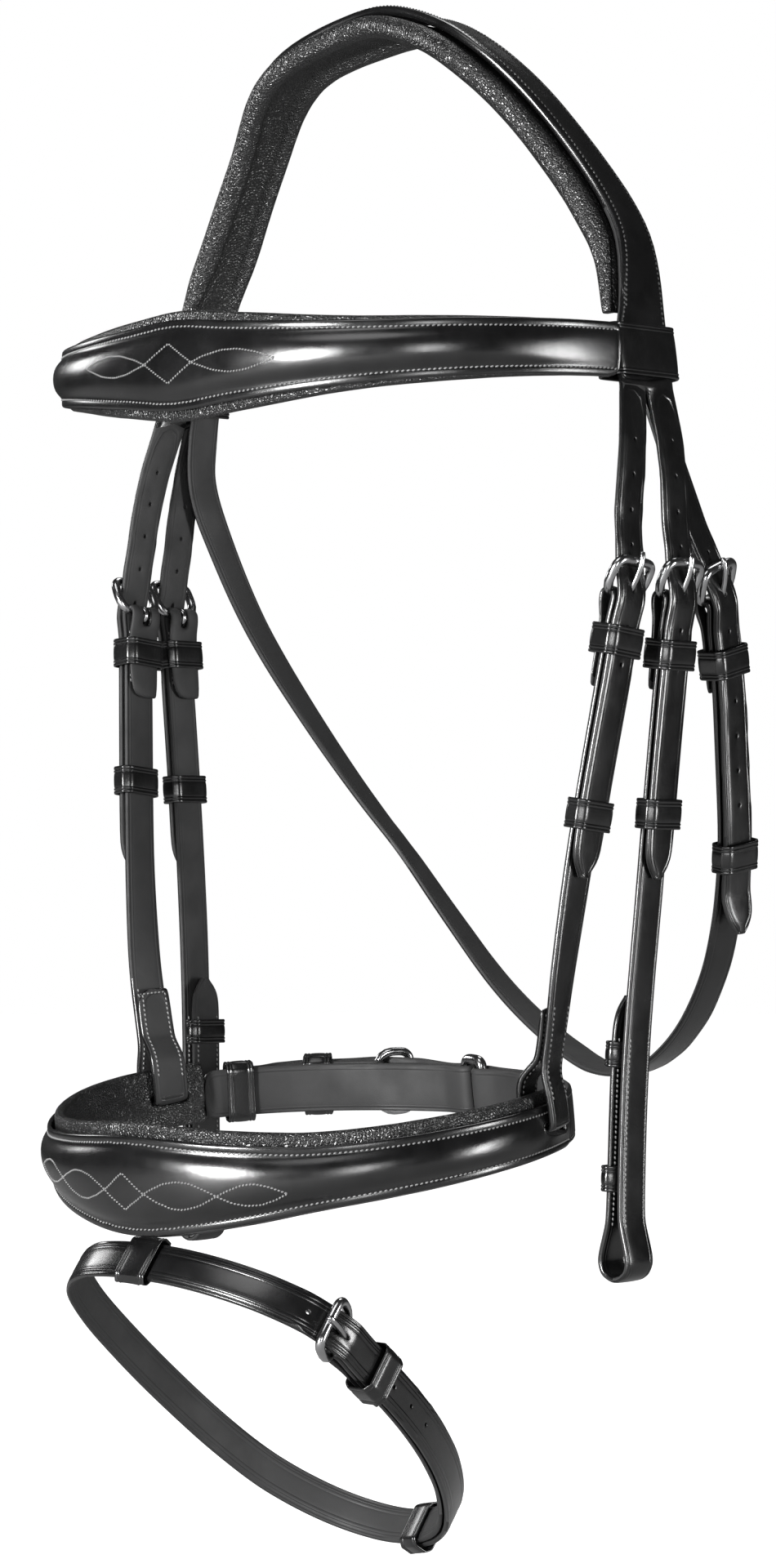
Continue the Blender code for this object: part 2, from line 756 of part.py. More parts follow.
# Roll and edges of the crown over shares of the arch's half length
ROLL_SHARES = (0.0, 0.238, 0.4765, 0.70, 0.87)
ROLL_THIN_SHARES = ((0.68, 1.0), (0.81, 0.56), (0.87, 0.50))
FRONT_OPEN_SHARES = (0.84, 0.94)
REAR_SHARES = (0.0, 0.238, 0.4765, 0.70, 0.93)
PIPE_SHARES = ((0.0, 1.0), (0.72, 1.0), (0.86, 0.0))
PIPE_CREST_SHARES = (0.2, 0.6)


def roll_place(share):
    places = (POLL_ROLL_PLACE, CREST_ROLL_PLACE, SHOULDER_ROLL_PLACE, EAR_ROLL_PLACE, PAD_END_ROLL_PLACE)
    return blend(share, tuple(zip(ROLL_SHARES, places)))


def roll_radius(share):
    return FRONT_ROLL_RADIUS * blend(share, ROLL_THIN_SHARES)


def crown_front(share):
    """The leather starts just behind the roll, and runs out to the front strap under the roll's end."""
    beside = roll_place(share) + ROLL_TO_LEATHER * roll_radius(share) / FRONT_ROLL_RADIUS
    start, end = FRONT_OPEN_SHARES
    return beside + (SPLIT_FRONT_EDGE - beside) * smoothstep((share - start) / (end - start))


def crown_rear(share):
    places = (POLL_REAR_EDGE, CREST_REAR_EDGE, SHOULDER_REAR_EDGE, EAR_REAR_EDGE, SPLIT_REAR_EDGE)
    return blend(share, tuple(zip(REAR_SHARES, places)))


def headpiece(line, leather):
    """The crown leather with its raised front edge, split on each side into two holed points."""
    half = line.length / 2
    count = 42
    lengths = [line.length * k / count for k in range(count + 1)]
    frames = [line.frame(u) for u in lengths]
    top, bottom = HEADPIECE_THICKNESS / 2, -HEADPIECE_THICKNESS / 2

    def outline(k):
        share = abs(lengths[k] - half) / half
        front, rear = crown_front(share), crown_rear(share)
        pipe = PIPE_HEIGHT * blend(share, PIPE_SHARES)
        near, far = (front + PIPE_WIDTH * part for part in PIPE_CREST_SHARES)
        return [(front, bottom), (front, top), (near, top + pipe), (far, top + pipe), (front + PIPE_WIDTH, top),
                (rear - EDGE_ROUND, top), (rear, 0.0), (rear - EDGE_ROUND, bottom)]

    body = finish("headpiece", sweep(frames, outline), leather)
    points = []
    for side in (1, -1):
        for strap in (HangerLine(side), CheekLine(side)):
            path = Path(strap.line, -SPLIT_OVERLAP, 0.0)
            billet(path, strap.u_bar, strap.u_bar + strap.billet_length)
            path.measure()
            points.append(finish("point", strap.billet_ribbon(path), leather))
    return boolean(body, points, "UNION")


def billet_cuts(path, u_bar, below, above):
    """The tongue's hole and the free holes along a billet."""
    used = path.at(u_bar - TONGUE_HOLE_BACK)
    holes = [(used, TONGUE_HOLE_LENGTH / 2)]
    for k in range(above):
        holes.append((used - HOLE_PITCH * (k + 1) - TONGUE_HOLE_LENGTH / 4, HOLE_RADIUS))
    for k in range(below):
        holes.append((used + HOLE_PITCH * (k + 1) + TONGUE_HOLE_LENGTH / 4, HOLE_RADIUS))
    return holes


class HangerLine:
    """The noseband hanger's line on one side, from the split to the noseband's slot."""

    billet_length = BILLET_LENGTH

    def __init__(self, side):
        self.side = side
        route = strap_route(HANGER_TOP_SHARES, HANGER_LOW_SHARES, NOSE_DROP, 1)
        slot = SWING_PLACE + Vector((SLOT_FLAT.x, 0.0, 0.0))
        route += [tuple(slot + nose_turned(Vector((0.0, 0.0, NOSE_HALF_HEIGHT * 0.8)))), tuple(slot)]
        power = NOSE_ROUNDNESS - 1.0
        turn = math.atan2((SLOT_FLAT.y / NOSE_HALF_DEPTH) ** power / NOSE_HALF_DEPTH,
                          (SLOT_FLAT.x / NOSE_HALF_WIDTH) ** power / NOSE_HALF_WIDTH)
        start, end = BUCKLE_DROP + BILLET_LENGTH * 0.8, NOSE_DROP - BUCKLE_LENGTH

        def outward(place):
            angle = turn * smoothstep((-place.z - start) / (end - start))
            return Vector((side * math.cos(angle), math.sin(angle), 0.0))

        self.line = Line(mirrored(route, side), outward)
        self.u_bar = self.line.find(2, -BUCKLE_DROP)

    def billet_ribbon(self, path):
        return ribbon(path, holes=billet_cuts(path, self.u_bar, 2, 4), tip=True)


class CheekLine:
    """The cheekpiece's line on one side, from the split to the bit loop."""

    billet_length = BILLET_LENGTH

    def __init__(self, side):
        self.side = side
        route = strap_route(CHEEK_TOP_SHARES, CHEEK_LOW_SHARES, BIT_DROP, side)
        self.line = Line(route, sideways(side))
        self.u_bar = self.line.find(2, -BUCKLE_DROP)

    def billet_ribbon(self, path):
        return ribbon(path, holes=billet_cuts(path, self.u_bar, 2, 4), tip=True)


def circle_points(centre, radius, start, end, steps):
    """Points on an arc, angles in degrees from +b towards +n."""
    found = []
    for k in range(steps + 1):
        angle = math.radians(start + (end - start) * k / steps)
        found.append((centre[0] + radius * math.cos(angle), centre[1] + radius * math.sin(angle)))
    return found


# The pad's section: how deep the front roll hangs and where the channel runs up to each roll, in roll radii
ROLL_DEPTH_SHARES = ((0.0, 0.81), (0.72, 0.81), (0.81, 1.0))
CHANNEL_SHARES = (1.35, 1.5)
REAR_TUCK_SHARE = 0.6
PAD_TOP_SHARE = 1.12


def crown_pad(line, lining):
    """The soft pad: a round front roll, a channel over the poll and a smaller rear roll."""
    half = line.length / 2
    reach = half - line.find(2, SPLIT_TO_PAD_END - SPLIT_DROP)
    count = 36
    lengths = [half - reach + 2 * reach * k / count for k in range(count + 1)]
    frames = [line.frame(u) for u in lengths]
    under = -HEADPIECE_THICKNESS / 2 - LAYER_GAP

    def outline(k):
        share = abs(lengths[k] - half) / half
        radius = roll_radius(share)
        front = (roll_place(share), under - radius * blend(share, ROLL_DEPTH_SHARES))
        small = REAR_ROLL_RADIUS * radius / FRONT_ROLL_RADIUS
        rear = (crown_rear(share) - small * REAR_TUCK_SHARE, under - small)
        channel = under - CROWN_PAD_THICKNESS * radius / FRONT_ROLL_RADIUS
        return (circle_points(front, radius, 48.0, 318.0, 9)
                + [(front[0] + radius * CHANNEL_SHARES[0], channel), (rear[0] - small * CHANNEL_SHARES[1], channel)]
                + circle_points(rear, small, 215.0, 450.0, 6)
                + [(front[0] + radius * PAD_TOP_SHARE, under)])

    return finish("crown_pad", sweep(frames, outline), lining, math.radians(60))


# Bands: half heights as shares of the half height in the middle, over shares of the length to the end
BROW_HALF_HEIGHT = 0.0172
BROW_PAD_HALF_HEIGHT = 0.0212
NOSE_HALF_HEIGHT = 0.0190
NOSE_PAD_ABOVE = 0.0046
NOSE_PAD_BELOW = 0.0014
BAND_ROLL_RADIUS = 0.0024
FLANGE_WIDTH = 0.0046
SHOULDER_WIDTH = 0.0040
BROW_FACE_SHARES = ((0.0, 1.0), (0.15, 0.87), (0.37, 0.71), (0.51, 0.65), (0.80, 0.605), (1.0, 0.593))
BROW_PAD_SHARES = ((0.0, 1.0), (0.15, 0.885), (0.37, 0.685), (0.51, 0.61), (0.80, 0.53), (1.0, 0.49))
NOSE_FACE_SHARES = ((0.0, 1.0), (0.225, 0.80), (0.40, 0.615), (0.60, 0.55), (1.0, 0.505))
RAISE_SHARES = ((0.0, 1.0), (0.62, 1.0), (0.85, 0.35), (1.0, 0.2))


def band_frames(line, reach, count):
    """Frames of a band from -reach to reach about the front middle."""
    lengths = [-reach + 2 * reach * k / count for k in range(count + 1)]
    return lengths, [line.frame(u) for u in lengths]


def band_face(name, line, reach, half_height, raised, thickness, surface, count=44):
    """The stitched face: a thin flange above and below a raised, padded middle."""
    lengths, frames = band_frames(line, reach, count)
    low = LAYER_GAP / 2

    def outline(k):
        share = abs(lengths[k]) / reach
        half = half_height(share)
        flange = min(FLANGE_WIDTH, half * 0.34)
        inner = half - flange - min(SHOULDER_WIDTH, half * 0.3)
        lift = low + thickness + raised * blend(share, RAISE_SHARES)
        top = low + thickness
        return [(-half, low), (-half, top - EDGE_ROUND), (-half + EDGE_ROUND, top), (-half + flange, top),
                (-inner, lift), (inner, lift), (half - flange, top), (half - EDGE_ROUND, top),
                (half, top - EDGE_ROUND), (half, low)]

    return finish(name, sweep(frames, outline), surface)


def band_pad(name, line, reach, top_at, bottom_at, thickness, surface, count=40):
    """The padded backing, with a round roll along its upper and lower edges."""
    lengths, frames = band_frames(line, reach, count)
    high = -LAYER_GAP / 2

    def outline(k):
        share = abs(lengths[k]) / reach
        top, bottom = top_at(share), bottom_at(share)
        roll = BAND_ROLL_RADIUS
        deep = high - thickness
        upper = circle_points((top - roll, high - roll), roll, 90.0, -60.0, 4)
        lower = circle_points((bottom + roll, high - roll), roll, -120.0, -270.0, 4)
        return upper + [(top - roll * 2.6, deep + roll * 0.3), (0.0, deep), (bottom + roll * 2.6, deep + roll * 0.3)] \
            + lower

    return finish(name, sweep(frames, outline), surface, math.radians(60))


# The hanger's loop through the noseband
LOOP_CORNER = 0.0026
HANGER_RETURN = 0.046
HANGER_JOIN = 0.026


def band_step(raised, share):
    """How far the face stands off a band's line at a share of its length."""
    return LAYER_GAP / 2 + NOSE_FACE_THICKNESS + raised * blend(share, RAISE_SHARES)


def hanger_path(strap):
    line, u_bar = strap.line, strap.u_bar
    path = chape(line, u_bar)
    u_slot = line.length
    half = STRAP_THICKNESS / 2
    outside = band_step(NOSE_CENTRE_RAISE, NOSE_SLOT_ANGLE / NOSE_FACE_ANGLE) + KEEPER_CLEARANCE + half
    inside = -LAYER_GAP / 2 - NOSE_PAD_THICKNESS - KEEPER_CLEARANCE - half
    top_of_band = NOSE_HALF_HEIGHT * 0.55 + NOSE_PAD_ABOVE
    path.to(u_slot - HANGER_JOIN, 0.0)
    path.to(u_slot - top_of_band * 0.8, outside)
    path.to(u_slot - LOOP_CORNER, outside, 4)
    path.turn((u_slot - LOOP_CORNER, outside - LOOP_CORNER), math.pi / 2, math.pi, 8)
    path.to(u_slot, inside + LOOP_CORNER, 4)
    path.turn((u_slot - LOOP_CORNER, inside + LOOP_CORNER), math.pi, math.pi * 1.5, 8)
    path.to(u_slot - top_of_band, inside, 4)
    path.to(u_slot - HANGER_JOIN, -LAYER_STEP)
    path.to(u_slot - HANGER_RETURN, -LAYER_STEP)
    return path.measure()


def folded_ribbon(name, path, u_bar, surface, tip=False, holes=(), width=STRAP_WIDTH):
    made = ribbon(path, width=width, slots=[chape_slot(path, u_bar)], holes=holes, tip=tip)
    return finish(name, made, surface)


# The bit loop and the billet that returns inside it
BIT_LOOP_RADIUS = 0.0066
BIT_LOOP_NECK = 0.018
BIT_BILLET_STEP = 0.0052
BIT_BILLET_RISE = 0.100
BIT_KEEPER_RISES = (0.078, 0.0315)
BIT_KEEPER_HEIGHT = 0.0100
BIT_KEEPER_WALL = 0.0018


def cheek_path(strap):
    line, u_bar = strap.line, strap.u_bar
    path = chape(line, u_bar)
    u_loop = line.length
    middle = -BIT_BILLET_STEP / 2
    path.to(u_loop - BIT_LOOP_NECK, 0.0)
    path.to(u_loop, middle + BIT_LOOP_RADIUS)
    path.turn((u_loop, middle), math.pi / 2, math.pi * 1.5, 20)
    path.to(u_loop - BIT_LOOP_NECK, -BIT_BILLET_STEP)
    path.to(u_loop - BIT_BILLET_RISE, -BIT_BILLET_STEP)
    return path.measure()


# Browband end loops round the headpiece, its branches and the throat straps sewn under it
def browband_loop(name, line, side, leather):
    half = line.length / 2
    u = line.find(2, SPLIT_TO_BROWBAND + BROW_LOOP_RISE - SPLIT_DROP)
    u = u if side < 0 else line.length - u
    share = abs(u - half) / half
    front, rear = crown_front(share), crown_rear(share)
    v_low = -HEADPIECE_THICKNESS / 2 - LAYER_STEP - LAYER_GAP * 2
    v_high = HEADPIECE_THICKNESS / 2
    return keeper(name, line, u, v_low, v_high, leather, rear - front + KEEPER_CLEARANCE, BROW_LOOP_HEIGHT,
                  (front + rear) / 2, BROW_LOOP_WALL)


# Throatlash: x as shares of the head's half width, y and z as shares of the throat's drop
THROAT_DROP = 0.405
THROAT_TIP_LIFT = 0.0050
THROAT_ROOT_PLACE = 0.0176
THROAT_ROOT_RISES = (0.0245, 0.0130, 0.0005)
THROAT_TURN_SHARE = 0.30
THROAT_TURN_LENGTH = 0.050
THROAT_NEAR_SHARES = ((0.953, 0.066, 0.420), (0.984, 0.0815, 0.474), (0.998, 0.0993, 0.520), (1.000, 0.1116, 0.556),
                      (0.992, 0.127, 0.620), (0.974, 0.140, 0.690), (0.946, 0.156, 0.785), (0.890, 0.168, 0.855),
                      (0.820, 0.177, 0.905), (0.690, 0.188, 0.958), (0.520, 0.200, 0.992), (0.320, 0.215, 1.000),
                      (0.060, 0.234, 0.972), (-0.180, 0.244, 0.925), (-0.410, 0.246, 0.855),
                      (-0.600, 0.240, 0.785), (-0.730, 0.220, 0.728), (-0.870, 0.170, 0.630),
                      (-0.945, 0.131, 0.555), (-0.968, 0.090, 0.480), (-0.958, 0.054, 0.410))
THROAT_BILLET_LENGTH = 0.1275


def throat_line(arch):
    """Both ends lie under the headpiece leather, the rest hangs behind the jaw."""
    depth = -HEADPIECE_THICKNESS / 2 - LAYER_GAP * 2 - STRAP_THICKNESS / 2
    root = []
    for rise in THROAT_ROOT_RISES:
        place, _along, out, across = arch.frame(arch.length - arch.find(2, rise - SPLIT_DROP))
        root.append(tuple(place + out * depth + across * THROAT_ROOT_PLACE))
    reach = Vector((HEAD_HALF_WIDTH, THROAT_DROP, -THROAT_DROP))
    free = [tuple(a * b for a, b in zip(p, reach)) for p in THROAT_NEAR_SHARES]
    far = [(-x, y, z) for x, y, z in reversed(root)]
    middle = THROAT_DROP * 0.6

    def outward(place):
        """Straight out from the throat, turned a little forward on the off side under the split."""
        turn = THROAT_TURN_SHARE * smoothstep((-place.z - SPLIT_DROP) / THROAT_TURN_LENGTH)
        return Vector((place.x, turn * min(place.x, 0.0), place.z + middle))

    return Line(root + free + far, outward)


# Where the crank ring and the noseband's buckle and keepers lie, as lengths from the ring
RING_WIRE = 0.0036
RING_HALF_WIDTH = REAR_STRAP_WIDTH / 2 + KEEPER_CLEARANCE + RING_WIRE / 2
RING_LENGTH = 0.0110
NOSE_BUCKLE_BACK = 0.044
NOSE_BILLET_LENGTH = 0.064
NOSE_CHAPE_END = 0.034
NOSE_KEEPER_STEP = 0.0026
RING_FOLD = RING_WIRE / 2 + LAYER_GAP + STRAP_THICKNESS / 2


def ring_tab_path(nose, u_start, u_bar):
    """The near side's strap, from the face's end round the ring's near bar and back inside."""
    path = Path(nose, u_start, 0.0)
    path.to(u_bar - CHAPE_EASE, 0.0)
    path.to(u_bar, RING_FOLD - LAYER_STEP / 2)
    path.turn((u_bar, -LAYER_STEP / 2), math.pi / 2, math.pi * 1.5)
    path.to(u_bar - CHAPE_EASE, -LAYER_STEP)
    path.to(u_bar - CHAPE_LENGTH, -LAYER_STEP)
    return path.measure()


def rear_strap_path(nose, u_start, u_ring, u_bar, bar, settled):
    """The off side's strap, round behind the jaw, through the ring and back outside to its buckle."""
    path = Path(nose, u_start, 0.0)
    path.to(u_ring + CHAPE_EASE, 0.0)
    path.to(u_ring, LAYER_STEP / 2 - RING_FOLD)
    path.turn((u_ring, LAYER_STEP / 2), -math.pi / 2, math.pi / 2)
    path.to(u_ring + CHAPE_EASE * 0.6, LAYER_STEP)
    path.to(u_bar - BUCKLE_LENGTH, bar + BUCKLE_LIFT - FOLD_RADIUS)
    path.to(u_bar, bar + FOLD_RADIUS + LAYER_STEP)
    path.to(u_bar + CHAPE_EASE, settled + LAYER_STEP)
    path.to(u_bar + NOSE_CHAPE_END * 0.8, settled + LAYER_STEP)
    path.to(u_bar + NOSE_CHAPE_END * 1.04, LAYER_STEP * 3)
    path.to(u_bar + NOSE_CHAPE_END * 1.34, LAYER_STEP)
    path.to(u_bar + NOSE_BILLET_LENGTH, LAYER_STEP)
    return path.measure()


def buckle_tab_path(nose, u_bar, bar, settled):
    """The folded tab that holds the noseband's buckle, sewn down on the rear strap at its end."""
    end = u_bar + NOSE_CHAPE_END
    path = Path(nose, end, LAYER_STEP)
    path.to(u_bar + NOSE_CHAPE_END * 0.78, settled - LAYER_STEP)
    path.to(u_bar + CHAPE_EASE, settled - LAYER_STEP)
    path.to(u_bar, bar - FOLD_RADIUS)
    path.turn((u_bar, bar), -math.pi / 2, math.pi / 2)
    path.to(u_bar + CHAPE_EASE, settled)
    path.to(u_bar + NOSE_CHAPE_END * 0.78, settled)
    path.to(end, LAYER_STEP * 2)
    return path.measure()


def noseband_rear(nose, face_end, leather, steel):
    total = nose.length
    middle = total / 2
    near_bar, far_bar = middle - RING_LENGTH / 2, middle + RING_LENGTH / 2
    width = REAR_STRAP_WIDTH
    half = STRAP_THICKNESS / 2
    tab = ribbon(ring_tab_path(nose, face_end + LAYER_GAP * 2, near_bar), width)
    finish("noseband_ring_tab", tab, leather)
    ring_wire("noseband_ring", nose, near_bar, far_bar, LAYER_STEP / 2, steel)
    settled = LAYER_STEP * 2 + NOSE_KEEPER_STEP
    bar = settled + LAYER_GAP
    u_bar = far_bar + NOSE_BUCKLE_BACK
    path = rear_strap_path(nose, total - face_end - LAYER_GAP * 2, far_bar, u_bar, bar, settled)
    used = path.at(u_bar - TONGUE_HOLE_BACK, 1)
    holes = [(used, TONGUE_HOLE_LENGTH / 2)]
    finish("noseband_rear_strap", ribbon(path, width, holes=holes, tip=True), leather)
    path = buckle_tab_path(nose, u_bar, bar, settled)
    finish("noseband_buckle_tab", ribbon(path, width, slots=[chape_slot(path, u_bar)]), leather)
    buckle("noseband_buckle", nose, u_bar, steel, bar, width)
    tongue("noseband_tongue", nose, u_bar, steel, bar)
    keeper("noseband_keeper", nose, u_bar + BAND_KEEPER_DROP, settled - LAYER_STEP - half,
           settled + LAYER_STEP + half, leather, width)
    keeper("noseband_runner", nose, u_bar + NOSE_RUNNER_DROP, -half, LAYER_STEP + half, leather, width,
           KEEPER_HEIGHT)


def throatlash(arch, leather, steel):
    line = throat_line(arch)
    u_bar = line.find(2, -BUCKLE_DROP)
    half = STRAP_THICKNESS / 2
    path = chape(line, u_bar).to(line.length, 0.0, 60).measure()
    folded_ribbon("throatlash", path, u_bar, leather)
    path = Path(line, 0.0, 0.0)
    billet(path, u_bar, u_bar + THROAT_RUNNER_DROP + KEEPER_HEIGHT)
    path.to(u_bar + THROAT_BILLET_LENGTH, LAYER_STEP + THROAT_TIP_LIFT)
    path.measure()
    finish("throatlash_point", ribbon(path, holes=billet_cuts(path, u_bar, 6, 1), tip=True), leather)
    buckle("throatlash_buckle", line, u_bar, steel)
    tongue("throatlash_tongue", line, u_bar, steel)
    keeper("throatlash_keeper", line, u_bar + THROAT_KEEPER_DROP, -LAYER_STEP - half, LAYER_STEP + half, leather)
    keeper("throatlash_runner", line, u_bar + THROAT_RUNNER_DROP, -half, LAYER_STEP + half, leather)


def flash(leather, steel):
    line = flash_line()
    u_bar = FLASH_BUCKLE_PLACE
    lap = line.length
    half = STRAP_THICKNESS / 2
    u_tip = lap + FLASH_RUNNER_PLACE + FLASH_TIP_REACH
    path = chape(line, u_bar).to(lap + u_bar - BILLET_EASE, 0.0, 90)
    billet(path, lap + u_bar, u_tip).measure()
    used = path.at(lap + u_bar - TONGUE_HOLE_BACK)
    holes = [(used, TONGUE_HOLE_LENGTH / 2), (used - HOLE_PITCH - TONGUE_HOLE_LENGTH / 4, HOLE_RADIUS)]
    holes += [(used + HOLE_PITCH * k + BAND_KEEPER_DROP, HOLE_RADIUS) for k in (1, 2, 3)]
    folded_ribbon("flash_strap", path, u_bar, leather, tip=True, holes=holes)
    buckle("flash_buckle", line, u_bar, steel)
    tongue("flash_tongue", line, u_bar, steel)
    keeper("flash_keeper", line, u_bar + BAND_KEEPER_DROP, -LAYER_STEP - half, LAYER_STEP + half, leather)
    keeper("flash_runner", line, FLASH_RUNNER_PLACE, -half, LAYER_STEP + half, leather)
    keeper("flash_loop", line, 0.0, -half - FLASH_LOOP_SAG, half, leather, height=FLASH_LOOP_LENGTH)


def ring_wire(name, line, u_low, u_high, step, steel):
    """The crank ring: a round-cornered wire loop standing across the strap."""
    low, high = line.frame(u_low), line.frame(u_high)
    a = low[0] - low[2] * step
    b = high[0] + high[2] * step
    along = (b - a)
    length = along.length
    along.normalize()
    across = low[3]
    corner = RING_WIRE * 0.8
    outline = []
    for sx, sy, start in ((1, 1, 0), (-1, 1, 90), (-1, 0, 180), (1, 0, 270)):
        for k in range(4):
            angle = math.radians(start + 30 * k)
            x = sx * (RING_HALF_WIDTH - corner) + corner * math.cos(angle)
            y = (length - corner if sy else corner) + corner * math.sin(angle)
            outline.append(a + across * x + along * y)
    return finish(name, tube(outline, RING_WIRE / 2, 8, closed=True), steel)


# The flash strap's loop from the front middle towards the near side: x as shares of its half width, then
# shares of its length down the slope
FLASH_SHARES = ((0.0, 0.0), (0.24, 0.006), (0.60, 0.041), (0.89, 0.099), (1.03, 0.178), (1.06, 0.320), (1.02, 0.500),
                (0.89, 0.660), (0.66, 0.815), (0.36, 0.940), (0.03, 0.998), (-0.29, 1.000), (-0.60, 0.950),
                (-0.84, 0.850), (-0.95, 0.700), (-0.975, 0.515), (-0.94, 0.310), (-0.86, 0.170), (-0.72, 0.075),
                (-0.47, 0.018), (-0.22, 0.0))


def flash_seat():
    """Where the flash loop is sewn on, under the inner side of the noseband's lower roll."""
    place, _along, out, across = noseband_line().frame(0.0)
    roll = place - out * (LAYER_GAP / 2 + BAND_ROLL_RADIUS)
    roll -= across * (NOSE_HALF_HEIGHT + NOSE_PAD_BELOW - BAND_ROLL_RADIUS)
    below = Vector((0.0, math.cos(FLASH_SEAT_ANGLE), -math.sin(FLASH_SEAT_ANGLE)))
    return roll + below * (BAND_ROLL_RADIUS + FLASH_SEAT_GAP)


def flash_line():
    s, c = math.sin(FLASH_SLOPE), math.cos(FLASH_SLOPE)
    corner = (KEEPER_CORNER * 0.3 + KEEPER_WALL) * (1.0 - math.sqrt(0.5))
    rim = KEEPER_CLEARANCE + KEEPER_WALL - corner
    front = flash_seat() - Vector((0.0, s, c)) * (STRAP_WIDTH / 2 + rim)
    front -= Vector((0.0, -c, s)) * (STRAP_THICKNESS / 2 + rim)
    route = [front + Vector((x * FLASH_HALF_WIDTH, w * FLASH_LENGTH * c, -w * FLASH_LENGTH * s))
             for x, w in FLASH_SHARES]
    middle = front + Vector((0.0, FLASH_LENGTH / 2 * c, -FLASH_LENGTH / 2 * s))
    upright = Vector((0.0, s, c))

    def outward(place):
        flat = place - middle
        flat -= upright * flat.dot(upright)
        flat.x *= FLASH_LENGTH / 2 / FLASH_HALF_WIDTH
        return flat

    return Line(route, outward, closed=True)


# Drops of the fixed keeper and the runner under each buckle's bar
KEEPER_DROPS = {("hanger", "near"): (HANGER_KEEPER_DROP, HANGER_NEAR_RUNNER_DROP),
                ("hanger", "off"): (HANGER_KEEPER_DROP, HANGER_OFF_RUNNER_DROP),
                ("cheek", "near"): (CHEEK_KEEPER_DROP, CHEEK_NEAR_RUNNER_DROP),
                ("cheek", "off"): (HANGER_KEEPER_DROP, CHEEK_OFF_RUNNER_DROP)}


def main():
    clear_scene()
    leather = material("bridle_leather", (0.012, 0.012, 0.013), 0.32, 0.0)
    lining = material("lining_leather", (0.016, 0.016, 0.017), 0.5, 0.0)
    steel = material("stainless_steel", (0.72, 0.72, 0.74), 0.22, 1.0)

    arch = arch_line()
    headpiece(arch, leather)
    crown_pad(arch, lining)

    brow_centre = Vector((0.0, BROW_CENTRE, SPLIT_TO_BROWBAND - SPLIT_DROP - BROW_SAG))
    brow = ellipse_line(BROW_HALF_WIDTH, BROW_REACH, brow_centre, BROW_ROUNDNESS,
                        lambda angle: BROW_SAG * math.sin(angle) ** 2, lambda v: v.copy())
    loop_front = SPLIT_FRONT_EDGE - KEEPER_CLEARANCE - BROW_LOOP_WALL
    end = next(u for u in (brow.length * k / 2000 for k in range(2000))
               if brow.point(u).x > 0 and brow.point(u).y > loop_front - BROW_LOOP_GAP)
    band_face("browband_face", brow, end, lambda share: BROW_HALF_HEIGHT * blend(share, BROW_FACE_SHARES),
              BROW_CENTRE_RAISE, BROW_FACE_THICKNESS, leather)
    band_pad("browband_pad", brow, end, lambda share: BROW_PAD_HALF_HEIGHT * blend(share, BROW_PAD_SHARES),
             lambda share: -BROW_PAD_HALF_HEIGHT * blend(share, BROW_PAD_SHARES), BROW_PAD_THICKNESS, lining)

    nose = noseband_line()
    nose_end = ellipse_length(nose, NOSE_FACE_ANGLE)
    band_face("noseband_face", nose, nose_end, lambda share: NOSE_HALF_HEIGHT * blend(share, NOSE_FACE_SHARES),
              NOSE_CENTRE_RAISE, NOSE_FACE_THICKNESS, leather)
    band_pad("noseband_pad", nose, nose_end,
             lambda share: NOSE_HALF_HEIGHT * blend(share, NOSE_FACE_SHARES) + NOSE_PAD_ABOVE,
             lambda share: -NOSE_HALF_HEIGHT * blend(share, NOSE_FACE_SHARES) - NOSE_PAD_BELOW,
             NOSE_PAD_THICKNESS, lining)
    for name in ("noseband_face", "noseband_pad"):
        cutters = []
        for side in (1, -1):
            u = side * ellipse_length(nose, NOSE_SLOT_ANGLE)
            place, along, out, across = nose.frame(u)
            size = (NOSE_SLOT_LENGTH, NOSE_PAD_THICKNESS * 4, NOSE_SLOT_HEIGHT)
            cutter = bmesh.new()
            bmesh.ops.create_cube(cutter, size=1.0)
            turn = Matrix((along, out, across)).transposed().to_4x4()
            stretch = Matrix.Diagonal((*size, 1.0))
            cutter.transform(Matrix.Translation(place) @ turn @ stretch)
            cutters.append(finish("slot_cutter", cutter, steel))
        boolean(bpy.data.objects[name], cutters, "DIFFERENCE")

    for side, label in ((1, "near"), (-1, "off")):
        browband_loop("browband_loop_" + label, arch, side, leather)
        for kind, strap, path_of in (("hanger", HangerLine(side), hanger_path), ("cheek", CheekLine(side), cheek_path)):
            path = path_of(strap)
            node = {"hanger": "noseband_hanger_", "cheek": "cheekpiece_"}[kind] + label
            folded_ribbon(node, path, strap.u_bar, leather, tip=kind == "cheek")
            buckle(kind + "_buckle_" + label, strap.line, strap.u_bar, steel)
            tongue(kind + "_tongue_" + label, strap.line, strap.u_bar, steel)
            half = STRAP_THICKNESS / 2
            fixed_drop, runner_drop = KEEPER_DROPS[kind, label]
            keeper(kind + "_keeper_" + label, strap.line, strap.u_bar + fixed_drop, -LAYER_STEP - half,
                   LAYER_STEP + half, leather)
            keeper(kind + "_runner_" + label, strap.line, strap.u_bar + runner_drop, -half, LAYER_STEP + half,
                   leather)
            if kind == "cheek":
                for number, rise in enumerate(BIT_KEEPER_RISES):
                    keeper(f"bit_keeper_{label}_{number + 1}", strap.line, strap.line.length - rise,
                           -BIT_BILLET_STEP - half, -BIT_BILLET_STEP + half, leather,
                           height=BIT_KEEPER_HEIGHT, wall=BIT_KEEPER_WALL)
    noseband_rear(nose, nose_end, leather, steel)
    throatlash(arch, leather, steel)
    flash(leather, steel)


if __name__ == "__main__":
    main()
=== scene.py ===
"""Looks of the anatomic bridle: creased leather, padded lining, waxed thread and steel, on a plain stage."""

import json
import math

import bmesh
import bpy
import numpy as np
from mathutils import Matrix, Vector, noise
from mathutils.bvhtree import BVHTree


